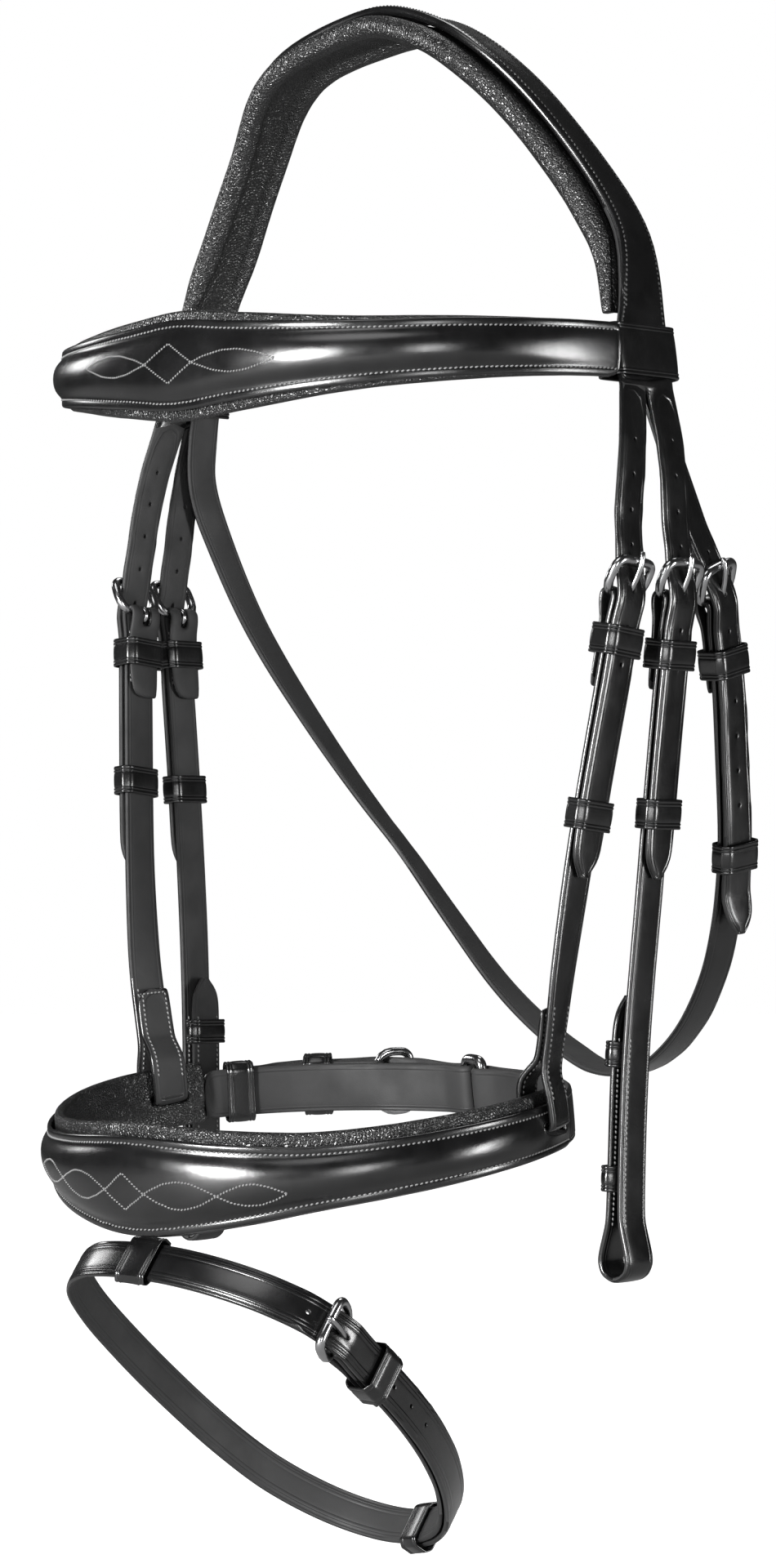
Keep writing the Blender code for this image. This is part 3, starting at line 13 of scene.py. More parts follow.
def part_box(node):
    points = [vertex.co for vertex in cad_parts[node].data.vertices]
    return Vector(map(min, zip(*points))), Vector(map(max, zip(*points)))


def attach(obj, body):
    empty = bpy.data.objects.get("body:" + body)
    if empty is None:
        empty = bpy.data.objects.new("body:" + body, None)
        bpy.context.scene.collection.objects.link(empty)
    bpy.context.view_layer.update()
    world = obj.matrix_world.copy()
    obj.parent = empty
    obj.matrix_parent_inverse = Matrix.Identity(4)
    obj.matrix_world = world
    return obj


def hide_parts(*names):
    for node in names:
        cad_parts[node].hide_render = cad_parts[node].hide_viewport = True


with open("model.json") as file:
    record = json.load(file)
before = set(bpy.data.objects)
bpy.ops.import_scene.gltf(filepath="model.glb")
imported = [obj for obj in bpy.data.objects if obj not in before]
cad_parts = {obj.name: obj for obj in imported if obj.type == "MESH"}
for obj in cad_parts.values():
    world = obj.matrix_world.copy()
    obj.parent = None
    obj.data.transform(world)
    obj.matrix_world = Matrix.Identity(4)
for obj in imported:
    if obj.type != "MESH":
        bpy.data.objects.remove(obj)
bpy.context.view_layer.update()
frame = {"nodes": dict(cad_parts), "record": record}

bl_info = {
    "name": "Anatomic bridle",
    "version": (1, 0, 0),
    "blender": (4, 5, 0),
    "location": "3D View > Sidebar > Bridle",
    "description": "Builds the leather, padding, stitching and steel of an anatomic bridle on its frame",
    "category": "Add Mesh",
}

NODE_BODY = {node: body for body, nodes in frame["record"]["behaviour"]["bodies"].items() for node in nodes}

# Mesh work: merging distance, and how flat two triangles lie that become one face
MERGE = 2e-6
FLAT = math.radians(25)

# Sides of a strap: a broad side's least share of the surface, more outlines than a smaller side without holes
# has, and how far a side may turn from face to face on a strap, on a band and on a keeper
BROAD_SHARE = 0.06
PLAIN_OUTLINES = 3
STRAP_BEND = math.radians(31)
BAND_BEND = math.radians(24)
KEEPER_BEND = math.radians(62)

# Outlines: the least cosine of a mitre, how often crossed corners are drawn together, and a corner's least turn
MITRE_LIMIT = 0.55
MITRE_ROUNDS = 6
CORNER = math.radians(50)

# Keepers: radius of the corners, cuts in each side, and the greatest cosine of an edge that runs round the band
KEEPER_CORNER = 0.0026
KEEPER_CUTS = 6
ROUND_COSINE = 0.3

# Punched holes: the greatest girth of any hole, that of a plain one, how far a plain one is drawn shut, the same
# with a tongue in it, the width of the rim, and how near a tongue is then
HOLE_GIRTH = 0.030
PUNCH_GIRTH = 0.0135
PUNCH_SHARE = 0.42
USED_SHARE = 0.55
PUNCH_RIM = 0.00045
TONGUE_CLEAR = 0.0085
TONGUES = [sum(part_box(node), Vector()) / 2 for node in sorted(frame["nodes"]) if "tongue" in node]

# Slots of the noseband: least and greatest girth, and how far the lower edge is raised
SLOT_GIRTH = 0.040, 0.055
SLOT_RISE = 0.7

# Seams: how far inside the crease line they lie, their stitches' lean in degrees and length over the pitch, and
# the least cosine between a seam's normal and that of the surface under it
SEAM_OFFSET = 0.0002
STRAP_SEAM = {"slant": 14.0, "overlap": 0.7}
FACE_SEAM = {"slant": 24.0, "overlap": 0.7}
FANCY_SEAM = {"slant": 28.0, "overlap": 0.84}
SAME_SIDE = 0.5

# Hangers and cheekpieces: the strap, its buckle, and the heights between which the seam of its lower loop lies.
# At the buckle the seam lies between two distances from it, and the headpiece is sewn down to a height
CHAPES = (("noseband_hanger_near", "hanger_buckle_near", -0.408, -0.372),
          ("noseband_hanger_off", "hanger_buckle_off", -0.408, -0.372),
          ("cheekpiece_near", "cheek_buckle_near", -0.457, -0.385),
          ("cheekpiece_off", "cheek_buckle_off", -0.457, -0.385))
CHAPE_SEAM = 0.014, 0.036
HEADPIECE_SEAM_END = -0.125

# Where the flesh side looks: the middle line of the head, and the insides of the two slanting straps
HEAD_MIDDLE = Vector((0.0, 0.0, 0.0))
THROAT_MIDDLE = Vector((0.0, 0.06, -0.25))
CHIN_MIDDLE = Vector((0.0, -0.06, 0.0))

# Stitched faces: band, eyes as (length, half height) outwards, the diamond's half length and half height, and the
# rise and slope of the stitching over the middle line. Then the steps of its lines, more faces than any side but
# the front has, and the length over which a run of the outline is sewn
BANDS = (("browband", ((0.0376, 0.0041),), (0.0122, 0.0074), 0.0004, -0.022),
         ("noseband", ((0.0312, 0.0051), (0.0272, 0.0040)), (0.0102, 0.0068), -0.0020, -0.026))
DIAMOND_STEPS = 10
EYE_STEPS = 20
FACE_CELLS = 100
LONG_RUN = 0.1

# Chart of a face: rows on each side of the middle, degrees from row to row, heights tried in each, and from how
# far out and how far in the face is looked for
CHART_ROWS = 60
CHART_STEP = 1.5
CHART_HEIGHTS = 80
CHART_FROM = 0.3
CHART_REACH = 0.28

# Filling of a lining: the steps it takes, quality and mass of the cloth, how often its push is evened out,
# and the scales of the folds with the share of the finer ones
FILL_FRAMES = 8
FILL_QUALITY = 3
FILL_MASS = 0.2
FILL_SMOOTH = 6
FOLD_SCALE = 380.0
FINE_FOLD_SCALE = 900.0
FINE_FOLD_SHARE = 0.6

# Steel: how much thicker wire and tongues are made than in the frame
WIRE_SWELL = 0.0006
TONGUE_SWELL = 0.0003

# Lamps: name, azimuth from the front towards the near side, height angle, distance, width, height, power
LAMPS = (("key", 2.0, 6.0, 2.3, 0.50, 0.80, 160.0), ("near", 52.0, 2.0, 2.5, 0.40, 1.20, 24.0),
         ("side", 110.0, -6.0, 2.2, 0.40, 1.50, 62.0), ("top", 12.0, 60.0, 1.9, 1.0, 1.0, 9.0),
         ("off", -85.0, 20.0, 2.4, 0.7, 0.7, 14.0), ("rear", 205.0, 58.0, 2.4, 1.0, 1.0, 12.0))
LAMP_AIM = Vector((0.0, -0.02, -0.3))

# Stage: light of the backdrop, the camera's frame in millimetres, and the floor's radius
WORLD_LIGHT = 0.05
SENSOR = 36.0
FLOOR_RADIUS = 6.0


# Settings

def size(name, description, default):
    """A length that can be set in the panel."""
    return bpy.props.FloatProperty(name=name, description=description, subtype="DISTANCE", unit="LENGTH",
                                   default=default, precision=5)


def shade(name, description, default):
    """A colour that can be set in the panel."""
    return bpy.props.FloatVectorProperty(name=name, description=description, subtype="COLOR", size=3, min=0,
                                         max=1, default=default)


class LeatherSettings(bpy.types.PropertyGroup):
    """Sizes and colours of the strap leather."""

    colour: shade("Grain side", "Colour of the dyed, waxed grain side", (0.0028, 0.0028, 0.0029))
    flesh: shade("Flesh side", "Colour of the unpolished inner side", (0.0052, 0.0052, 0.0054))
    lining: shade("Lining", "Colour of the soft lining leather", (0.0034, 0.0034, 0.0035))
    crease_inset: size("Crease inset", "From a strap's edge to its crease line", 0.0017)
    crease_width: size("Crease width", "Half the width of a crease line", 0.00032)
    crease_depth: size("Crease depth", "Depth of a crease line", 0.00028)
    border: size("Border", "How far a strap's border is rounded down towards its edge", 0.0006)
    second_crease: size("Second crease", "From the first crease line to the second", 0.0009)
    keeper_inset: size("Keeper crease", "From a keeper's rim to its crease line", 0.0012)
    keeper_second: size("Keeper second crease", "From a keeper's first line to its second", 0.0005)
    keeper_depth: size("Keeper crease depth", "Depth of a keeper's crease lines", 0.0004)
    flange_inset: size("Flange seam", "From the edge of a stitched face to its seam", 0.0022)
    grain_size: size("Grain size", "Width of one cell of the grain", 0.0006)


class StitchSettings(bpy.types.PropertyGroup):
    """Thread and stitch lengths."""

    pitch: size("Pitch", "From one stitch to the next", 0.00195)
    thread: size("Thread", "Width of the thread", 0.0008)
    fancy_pitch: size("Fancy pitch", "From one stitch to the next in the fancy stitching", 0.00135)
    fancy_thread: size("Fancy thread", "Width of the thread in the fancy stitching", 0.00075)
    pale: shade("Pale thread", "Thread of the face seams and the fancy stitching", (0.11, 0.11, 0.11))
    dark: shade("Dark thread", "Thread of the plain seams", (0.014, 0.014, 0.014))


class PadSettings(bpy.types.PropertyGroup):
    """The soft, padded linings."""

    slack: size("Slack", "How much smaller the lining starts", 0.0002)
    swell: size("Swell", "How far the filling may push the lining out", 0.0009)
    wrinkle: size("Wrinkle", "Height of the lining's small folds", 0.00009)
    pressure: bpy.props.FloatProperty(name="Pressure", description="Pressure of the filling", default=4.0)


class StageSettings(bpy.types.PropertyGroup):
    """Camera, lamps, floor and backdrop."""

    camera_place: bpy.props.FloatVectorProperty(name="Camera", description="Where the camera stands", size=3,
                                                subtype="TRANSLATION", default=(1.1308, -1.2554, -0.2900))
    camera_turn: bpy.props.FloatProperty(name="Camera turn", description="Turn of the level camera",
                                         subtype="ANGLE", default=math.radians(42.0))
    lens: bpy.props.FloatProperty(name="Lens", default=98.8,
                                  description="Focal length over a 36 mm tall frame, in millimetres")
    floor_height: size("Floor height", "Height of the floor under the bridle", -0.70)
    floor: shade("Floor colour", "Colour of floor and backdrop", (0.40, 0.40, 0.40))


# Materials

class Nodes:
    """A material's node tree, with short calls to add and join its nodes."""

    def __init__(self, name):
        self.material = bpy.data.materials.new(name)
        self.material.use_nodes = True
        self.tree = self.material.node_tree
        self.shader = self.tree.nodes["Principled BSDF"]
        self.place = self.add("ShaderNodeTexCoord").outputs["Object"]

    def add(self, kind, **values):
        node = self.tree.nodes.new(kind)
        for key, value in values.items():
            if hasattr(node, key):
                setattr(node, key, value)
            else:
                node.inputs[key.replace("_", " ")].default_value = value
        return node

    def join(self, source, target):
        self.tree.links.new(source, target)

    def noise(self, scale, detail=3.0, roughness=0.55):
        node = self.add("ShaderNodeTexNoise", Scale=scale, Detail=detail, Roughness=roughness)
        self.join(self.place, node.inputs["Vector"])
        return node.outputs["Fac"]

    def cells(self, scale):
        node = self.add("ShaderNodeTexVoronoi", feature="DISTANCE_TO_EDGE", Scale=scale)
        self.join(self.place, node.inputs["Vector"])
        return node.outputs["Distance"]

    def ramp(self, value, low, high, to_low, to_high):
        node = self.add("ShaderNodeMapRange")
        self.join(value, node.inputs["Value"])
        for key, number in zip(("From Min", "From Max", "To Min", "To Max"), (low, high, to_low, to_high)):
            node.inputs[key].default_value = number
        return node.outputs["Result"]

    def math(self, operation, a, b):
        node = self.add("ShaderNodeMath", operation=operation)
        for socket, value in zip(node.inputs, (a, b)):
            if isinstance(value, (int, float)):
                socket.default_value = value
            else:
                self.join(value, socket)
        return node.outputs["Value"]

    def tint(self, value, dark, pale):
        node = self.add("ShaderNodeMix", data_type="RGBA")
        self.join(value, node.inputs["Factor"])
        for socket in node.inputs:
            if socket.type == "RGBA":
                socket.default_value = (*(dark if socket.name == "A" else pale), 1.0)
        return next(socket for socket in node.outputs if socket.type == "RGBA")

    def bump(self, height, distance):
        node = self.add("ShaderNodeBump", Strength=1.0, Distance=distance)
        self.join(height, node.inputs["Height"])
        self.join(node.outputs["Normal"], self.shader.inputs["Normal"])

    def finish(self, colour, roughness):
        self.join(colour, self.shader.inputs["Base Color"])
        self.join(roughness, self.shader.inputs["Roughness"])
        return self.material


def shades(colour, dark, pale):
    """A darker and a paler shade of a colour."""
    return [tuple(min(part * share, 1.0) for part in colour) for share in (dark, pale)]


def grain_leather(settings):
    """Waxed bridle leather: tight grain, faint pull-up marks and a soft gloss."""
    nodes = Nodes("bridle_grain")
    cells = nodes.cells(scale=1.0 / settings.grain_size)
    cloud = nodes.noise(scale=90.0)
    fine = nodes.noise(scale=2400.0, detail=4.0)
    creased = nodes.noise(scale=420.0)
    blotches = nodes.ramp(cloud, low=0.3, high=0.7, to_low=0.0, to_high=1.0)
    colour = nodes.tint(blotches, *shades(settings.colour, dark=0.8, pale=1.5))
    worn = nodes.math("ADD", cloud, nodes.math("MULTIPLY", fine, 0.4))
    roughness = nodes.ramp(worn, low=0.3, high=1.1, to_low=0.16, to_high=0.30)
    pits = nodes.ramp(cells, low=0.0, high=0.12, to_low=0.0, to_high=1.0)
    relief = nodes.math("ADD", nodes.math("MULTIPLY", pits, 0.2), nodes.math("MULTIPLY", fine, 0.2))
    relief = nodes.math("ADD", relief, nodes.math("MULTIPLY", creased, 0.9))
    nodes.bump(relief, distance=0.00003)
    nodes.shader.inputs["Specular IOR Level"].default_value = 0.5
    return nodes.finish(colour, roughness)


def flesh_leather(settings):
    """The strap's inner side: matt, slightly fibrous."""
    nodes = Nodes("bridle_flesh")
    fibre = nodes.noise(scale=1900.0)
    cloud = nodes.noise(scale=60.0)
    colour = nodes.tint(nodes.math("MULTIPLY", fibre, cloud), *shades(settings.flesh, dark=0.8, pale=1.3))
    roughness = nodes.ramp(cloud, low=0.3, high=0.7, to_low=0.62, to_high=0.8)
    nodes.bump(fibre, distance=0.00003)
    return nodes.finish(colour, roughness)


def lining_leather(settings):
    """Soft tumbled lining leather with small wrinkles."""
    nodes = Nodes("bridle_lining")
    cells = nodes.cells(scale=1.0 / (settings.grain_size * 1.9))
    fine = nodes.noise(scale=1100.0, detail=4.0)
    cloud = nodes.noise(scale=70.0)
    colour = nodes.tint(cloud, *shades(settings.lining, dark=0.7, pale=1.6))
    roughness = nodes.ramp(fine, low=0.3, high=0.7, to_low=0.26, to_high=0.40)
    folds = nodes.ramp(cells, low=0.0, high=0.25, to_low=0.0, to_high=1.0)
    nodes.bump(nodes.math("ADD", folds, nodes.math("MULTIPLY", fine, 0.6)), distance=0.00018)
    return nodes.finish(colour, roughness)


def thread_material(name, colour):
    """Waxed linen thread, laid in strands."""
    nodes = Nodes(name)
    strands = nodes.noise(scale=3200.0, detail=2.0)
    tint = nodes.tint(strands, *shades(colour, dark=0.7, pale=1.25))
    nodes.bump(strands, distance=0.00005)
    return nodes.finish(tint, nodes.ramp(strands, low=0.3, high=0.7, to_low=0.42, to_high=0.6))


def polished_steel():
    """Stainless steel, polished, with a faint hand-rubbed haze."""
    nodes = Nodes("bridle_steel")
    haze = nodes.noise(scale=350.0, detail=4.0)
    colour = nodes.tint(haze, dark=(0.30, 0.30, 0.305), pale=(0.38, 0.38, 0.385))
    nodes.shader.inputs["Metallic"].default_value = 1.0
    nodes.bump(haze, distance=0.000004)
    return nodes.finish(colour, nodes.ramp(haze, low=0.3, high=0.7, to_low=0.14, to_high=0.24))


# Mesh work on copies of the frame's pieces

def solid_of(node):
    """A merged copy of a frame piece's mesh, its triangles joined back to quads."""
    made = bmesh.new()
    made.from_mesh(frame["nodes"][node].data)
    bmesh.ops.remove_doubles(made, verts=made.verts[:], dist=MERGE)
    bmesh.ops.join_triangles(made, faces=made.faces[:], angle_face_threshold=FLAT, angle_shape_threshold=math.pi)
    return made


def area_of(faces):
    """The area of some faces together."""
    return sum(face.calc_area() for face in faces)


def regions(made, bend):
    """Groups of faces that turn by less than bend from one to the next, the largest first."""
    seen, found = set(), []
    for face in made.faces:
        if face in seen:
            continue
        seen.add(face)
        group, waiting = [], [face]
        while waiting:
            one = waiting.pop()
            group.append(one)
            for edge in one.edges:
                if len(edge.link_faces) == 2 and edge.calc_face_angle(math.pi) < bend:
                    for other in edge.link_faces:
                        if other not in seen:
                            seen.add(other)
                            waiting.append(other)
        found.append(group)
    return sorted(found, key=lambda group: -area_of(group))


def broad(made, bend):
    """The broad sides of a strap: the regions with a fair share of the whole surface."""
    total = area_of(made.faces)
    return [group for group in regions(made, bend) if area_of(group) > total * BROAD_SHARE]


def rim_edges(faces):
    """The edges round a group of faces, in a steady order."""
    inside = set(faces)
    return list(dict.fromkeys(edge for face in faces for edge in face.edges
                              if sum(other in inside for other in edge.link_faces) == 1))


def loops_of(edges):
    """Closed rows of corners along edges."""
    nearby = {}
    for edge in edges:
        for vert in edge.verts:
            nearby.setdefault(vert, []).append(edge)
    left = dict.fromkeys(edges)
    found = []
    while left:
        edge = next(iter(left))
        del left[edge]
        chain = list(edge.verts)
        while True:
            following = [one for one in nearby[chain[-1]] if one in left]
            if not following:
                break
            del left[following[0]]
            chain.append(following[0].other_vert(chain[-1]))
        if chain[0] is chain[-1]:
            chain.pop()
        found.append(chain)
    return found


def girth_of(chain):
    """The length of a closed row of corners."""
    return sum((a.co - b.co).length for a, b in zip(chain, chain[1:] + chain[:1]))


def middle_of_corners(chain):
    """The mean place of a row of corners."""
    return sum((vert.co for vert in chain), Vector()) / len(chain)


def mean_normal(vert, inside):
    """The normal of a side at a corner, from the side's faces round it."""
    around = [face for face in vert.link_faces if face in inside]
    return sum((face.normal * face.calc_area() for face in around), Vector()).normalized()


def place_key(place):
    """A place in whole steps of the merging distance, to find it again."""
    return tuple(round(value / MERGE) for value in place)


def cap_holes(made, faces):
    """Lids over the punched holes of a side, so that its edge is only its outline."""
    lids = []
    for chain in loops_of(rim_edges(faces)):
        if girth_of(chain) < HOLE_GIRTH and len(chain) > 2:
            lids.append(made.faces.new(chain))
    return lids


def inset(made, faces, thickness, depth=0.0):
    """Draws the outline of a side inwards by a thickness and along its normal by a depth."""
    rim = rim_edges(faces)
    inside = set(faces)
    pulls = {}
    for edge in rim:
        face = next(one for one in edge.link_faces if one in inside)
        a, b = edge.verts
        pull = face.normal.cross(b.co - a.co).normalized()
        if pull.dot(face.calc_center_median() - a.co) < 0:
            pull.negate()
        for vert in edge.verts:
            pulls.setdefault(vert, []).append((pull, face.normal.copy()))
    targets = {}
    for vert, found in pulls.items():
        way = sum((pull for pull, _n in found), Vector())
        way = (way if way.length > MITRE_LIMIT else found[0][0].copy()).normalized()
        normal = sum((n for _p, n in found), Vector()).normalized()
        reach = thickness / max(way.dot(found[0][0]), MITRE_LIMIT)
        targets[vert] = vert.co + way * reach + normal * depth
    for _k in range(MITRE_ROUNDS):
        for edge in rim:
            a, b = edge.verts
            if (targets[b] - targets[a]).dot(b.co - a.co) < 0:
                targets[a] = (targets[a] + targets[b]) / 2
                targets[b] = targets[a].copy()
    places = {place_key(vert.co): target for vert, target in targets.items()}
    bmesh.ops.inset_region(made, faces=faces, thickness=0.0, depth=0.0, use_boundary=True)
    for vert in dict.fromkeys(vert for face in faces for vert in face.verts):
        target = places.get(place_key(vert.co))
        if target:
            vert.co = target
    for face in faces:
        face.normal_update()


def crease(made, faces, steps, border=0.0):
    """Presses lines along the edges of a broad side, and rounds the border outside the first line."""
    lids = cap_holes(made, faces)
    side = faces + lids
    inside = set(side)
    outline = dict.fromkeys(vert for edge in rim_edges(side) for vert in edge.verts)
    drops = {vert: mean_normal(vert, inside) * border for vert in outline}
    (first, depth), *others = steps
    for part in ((first / 2, 0.0), (first / 2, depth)) if border else ((first, depth),):
        inset(made, side, *part)
    for thickness, depth in others:
        inset(made, side, thickness, depth)
    for vert, drop in drops.items():
        vert.co -= drop
    bmesh.ops.delete(made, geom=lids, context="FACES_ONLY")


def close_up_holes(made, faces, tongues):
    """Draws punched holes nearly shut, less where a tongue goes through, and rounds their rims."""
    rims = []
    for chain in loops_of(rim_edges(faces)):
        middle, girth = middle_of_corners(chain), girth_of(chain)
        if girth < HOLE_GIRTH:
            used = girth > PUNCH_GIRTH or any((middle - tongue).length < TONGUE_CLEAR for tongue in tongues)
            for vert in chain:
                vert.co = middle + (vert.co - middle) * (USED_SHARE if used else PUNCH_SHARE)
            pairs = zip(chain, chain[1:] + chain[:1])
            rims += [made.edges.get(pair) for pair in pairs]
    rims = [edge for edge in rims if edge]
    if rims:
        bmesh.ops.bevel(made, geom=rims, offset=PUNCH_RIM, offset_type="OFFSET", segments=2, profile=0.5,
                        affect="EDGES", material=-1)


def narrow_slots(made, groups):
    """Raises the lower edge of the noseband's slots towards the strap loop in them."""
    for chain in [chain for group in groups for chain in loops_of(rim_edges(group))]:
        if SLOT_GIRTH[0] < girth_of(chain) < SLOT_GIRTH[1]:
            middle = middle_of_corners(chain)
            far = max(chain, key=lambda vert: (vert.co - middle).length).co - middle
            up = (Vector((0.0, 0.0, 1.0)) - far * far.z / far.length_squared).normalized()
            for vert in chain:
                drop = (vert.co - middle).dot(up)
                if drop < 0:
                    vert.co -= up * drop * SLOT_RISE


def pressed_line(width, depth):
    """The two insets that press a line into a side."""
    return [(width, -depth), (width, depth)]


def crease_steps(settings, second=0.0):
    """The insets of a strap's crease line, and of a second one at a distance from it."""
    press = pressed_line(settings.crease_width, settings.crease_depth)
    steps = [(settings.crease_inset, 0.0)] + press
    return steps + ([(second, 0.0)] + press if second else [])


def outline_runs(faces):
    """The outline of a side as runs of (place, normal), cut at its corners."""
    inside = set(faces)
    found = []
    for chain in loops_of(rim_edges(faces)):
        found += cut_at_corners([(vert.co.copy(), mean_normal(vert, inside)) for vert in chain])
    return found


def cut_at_corners(points):
    """Splits a closed line at its corners."""
    count = len(points)
    sharp = []
    for k in range(count):
        before = points[k][0] - points[k - 1][0]
        after = points[(k + 1) % count][0] - points[k][0]
        if before.length > MERGE and after.length > MERGE and before.angle(after) > CORNER:
            sharp.append(k)
    if not sharp:
        return [points + points[:1]]
    ends = sharp[1:] + [sharp[0] + count]
    return [[points[k % count] for k in range(a, b + 1)] for a, b in zip(sharp, ends)]


def run_length(run):
    """The length of a run."""
    return sum((b[0] - a[0]).length for a, b in zip(run, run[1:]))


def spaced(run, step):
    """Points at even steps along a run."""
    lengths = [0.0]
    for a, b in zip(run, run[1:]):
        lengths.append(lengths[-1] + (b[0] - a[0]).length)
    count = max(round(lengths[-1] / step), 1)
    found, k = [], 0
    for i in range(count + 1):
        reach = lengths[-1] * i / count
        while k < len(run) - 2 and lengths[k + 1] < reach:
            k += 1
        share = min(max((reach - lengths[k]) / max(lengths[k + 1] - lengths[k], MERGE), 0.0), 1.0)
        place = run[k][0].lerp(run[k + 1][0], share)
        found.append((place, run[k][1].lerp(run[k + 1][1], share).normalized()))
    return found


def kept_parts(run, test, step=0.0005, shortest=0.006):
    """The stretches of a run whose places pass a test."""
    found = [[]]
    for point in spaced(run, step):
        if test(point[0]):
            found[-1].append(point)
        elif found[-1]:
            found.append([])
    return [part for part in found if len(part) > 1 and run_length(part) > shortest]


def middle_of(node):
    """The middle of a frame piece's box."""
    low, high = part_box(node)
    return (low + high) / 2


def seam_runs(node, distance, test, bend=STRAP_BEND, wanted=None):
    """Runs along the edges of a node's broad sides, at a distance from them."""
    made = solid_of(node)
    found = []
    for group in broad(made, bend):
        if wanted and not wanted(group):
            continue
        side = group + cap_holes(made, group)
        inset(made, side, distance)
        for run in outline_runs(side):
            found += kept_parts(run, test)
    made.free()
    return found


def place_piece(name, made, body, materials, nodes=(), levels=0):
    """Makes the piece an object that rides on its body and stands for its frame nodes."""
    bmesh.ops.remove_doubles(made, verts=made.verts[:], dist=MERGE)
    mesh = bpy.data.meshes.new(name)
    made.to_mesh(mesh)
    made.free()
    for name_of_material in materials:
        mesh.materials.append(bpy.data.materials[name_of_material])
    mesh.shade_smooth()
    piece = bpy.data.objects.new(name, mesh)
    bpy.context.scene.collection.objects.link(piece)
    if levels:
        step = piece.modifiers.new("Rounding", "SUBSURF")
        step.levels = step.render_levels = levels
    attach(piece, body)
    if nodes:
        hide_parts(*nodes)
    return piece


def surface_of(piece):
    """A finished piece's surface, to seat stitches on."""
    return BVHTree.FromObject(piece, bpy.context.evaluated_depsgraph_get())


def inward(face, middle):
    """Whether a face looks towards the head's middle line, or towards a place if that has a height."""
    place = face.calc_center_median()
    return face.normal.dot(Vector((middle.x, middle.y, middle.z or place.z)) - place) > 0


def round_corners(made, side, radius):
    """Rounds the four corners of a keeper's closed band."""
    spread = np.zeros((3, 3))
    for face in side:
        spread += np.outer(face.normal, face.normal) * face.calc_area()
    along = Vector(np.linalg.eigh(spread)[1][:, 0])
    across = max(side, key=lambda face: face.calc_area()).normal
    across = (across - along * across.dot(along)).normalized()
    axes = across, along.cross(across)
    corners = dict.fromkeys(vert for face in side for vert in face.verts)
    spans = [[vert.co.dot(axis) for vert in corners] for axis in axes]
    middles = [(min(span) + max(span)) / 2 for span in spans]
    halves = [(max(span) - min(span)) / 2 for span in spans]
    long = []
    for edge in made.edges:
        way = (edge.verts[1].co - edge.verts[0].co).normalized()
        if abs(way.dot(along)) < ROUND_COSINE and edge.calc_length() > radius:
            long.append(edge)
    bmesh.ops.subdivide_edges(made, edges=long, cuts=KEEPER_CUTS, use_grid_fill=True)
    for vert in made.verts:
        flat = [vert.co.dot(axis) - middle for axis, middle in zip(axes, middles)]
        beyond = [abs(place) - half + radius for place, half in zip(flat, halves)]
        reach = math.hypot(*beyond)
        if min(beyond) > 0 and reach > 0:
            share = max(beyond) / reach - 1
            for axis, place, part in zip(axes, flat, beyond):
                vert.co += axis * math.copysign(part, place) * share


def dressed(node, materials, steps, bend, levels, middle=None, sides=None, border=0.0):
    """A leather piece with rounded edges and pressed lines, with a flesh side towards the middle if given."""
    made = solid_of(node)
    keeper = bend == KEEPER_BEND
    if keeper:
        round_corners(made, broad(made, bend)[0], KEEPER_CORNER)
        made.normal_update()
    groups = broad(made, bend)[:sides]
    known = {face for group in groups for face in group}
    for group in regions(made, bend):
        if group[0] not in known and len(loops_of(rim_edges(group))) > PLAIN_OUTLINES:
            groups.append(group)
    narrow_slots(made, groups)
    for group in groups:
        crease(made, group, steps, border)
    if not keeper:
        close_up_holes(made, [face for group in groups for face in group if face.is_valid], TONGUES)
    if middle:
        for face in made.faces:
            face.material_index = int(inward(face, middle))
    return place_piece(node + "_leather", made, NODE_BODY[node], materials, [node], levels)


def one_stitch():
    """The corners and faces of a single round-ended stitch that lies along X."""
    made = bmesh.new()
    bmesh.ops.create_uvsphere(made, u_segments=6, v_segments=5, radius=1.0,
                              matrix=Matrix.Rotation(math.pi / 2, 4, "Y"))
    made.verts.index_update()
    corners = [vert.co.copy() for vert in made.verts]
    faces = [[vert.index for vert in face.verts] for face in made.faces]
    made.free()
    return corners, faces


def sew(name, runs, body, thread, surface, pitch, width, slant, overlap):
    """Rows of thread stitches along runs, seated on a surface."""
    made = bmesh.new()
    corners, faces = one_stitch()
    tilt = math.radians(slant)
    for run in runs:
        points = spaced(run, pitch)
        for (place, normal), (further, _n) in zip(points, points[1:]):
            seat, found, _index, _distance = surface.find_nearest((place + further) / 2)
            normal = found if found.dot(normal) > SAME_SIDE else normal
            ahead = (further - place).normalized()
            aside = normal.cross(ahead).normalized()
            along = ahead * math.cos(tilt) + aside * math.sin(tilt)
            turn = Matrix((along, normal.cross(along).normalized(), normal)).transposed().to_4x4()
            extent = Matrix.Diagonal((pitch * overlap / 2, width / 2, width / 2, 1.0))
            lie = Matrix.Translation(seat) @ turn @ extent
            verts = [made.verts.new(lie @ corner) for corner in corners]
            for face in faces:
                made.faces.new([verts[k] for k in face])
    if not made.verts:
        raise RuntimeError(name + " has no stitches")
    return place_piece(name, made, body, [thread])


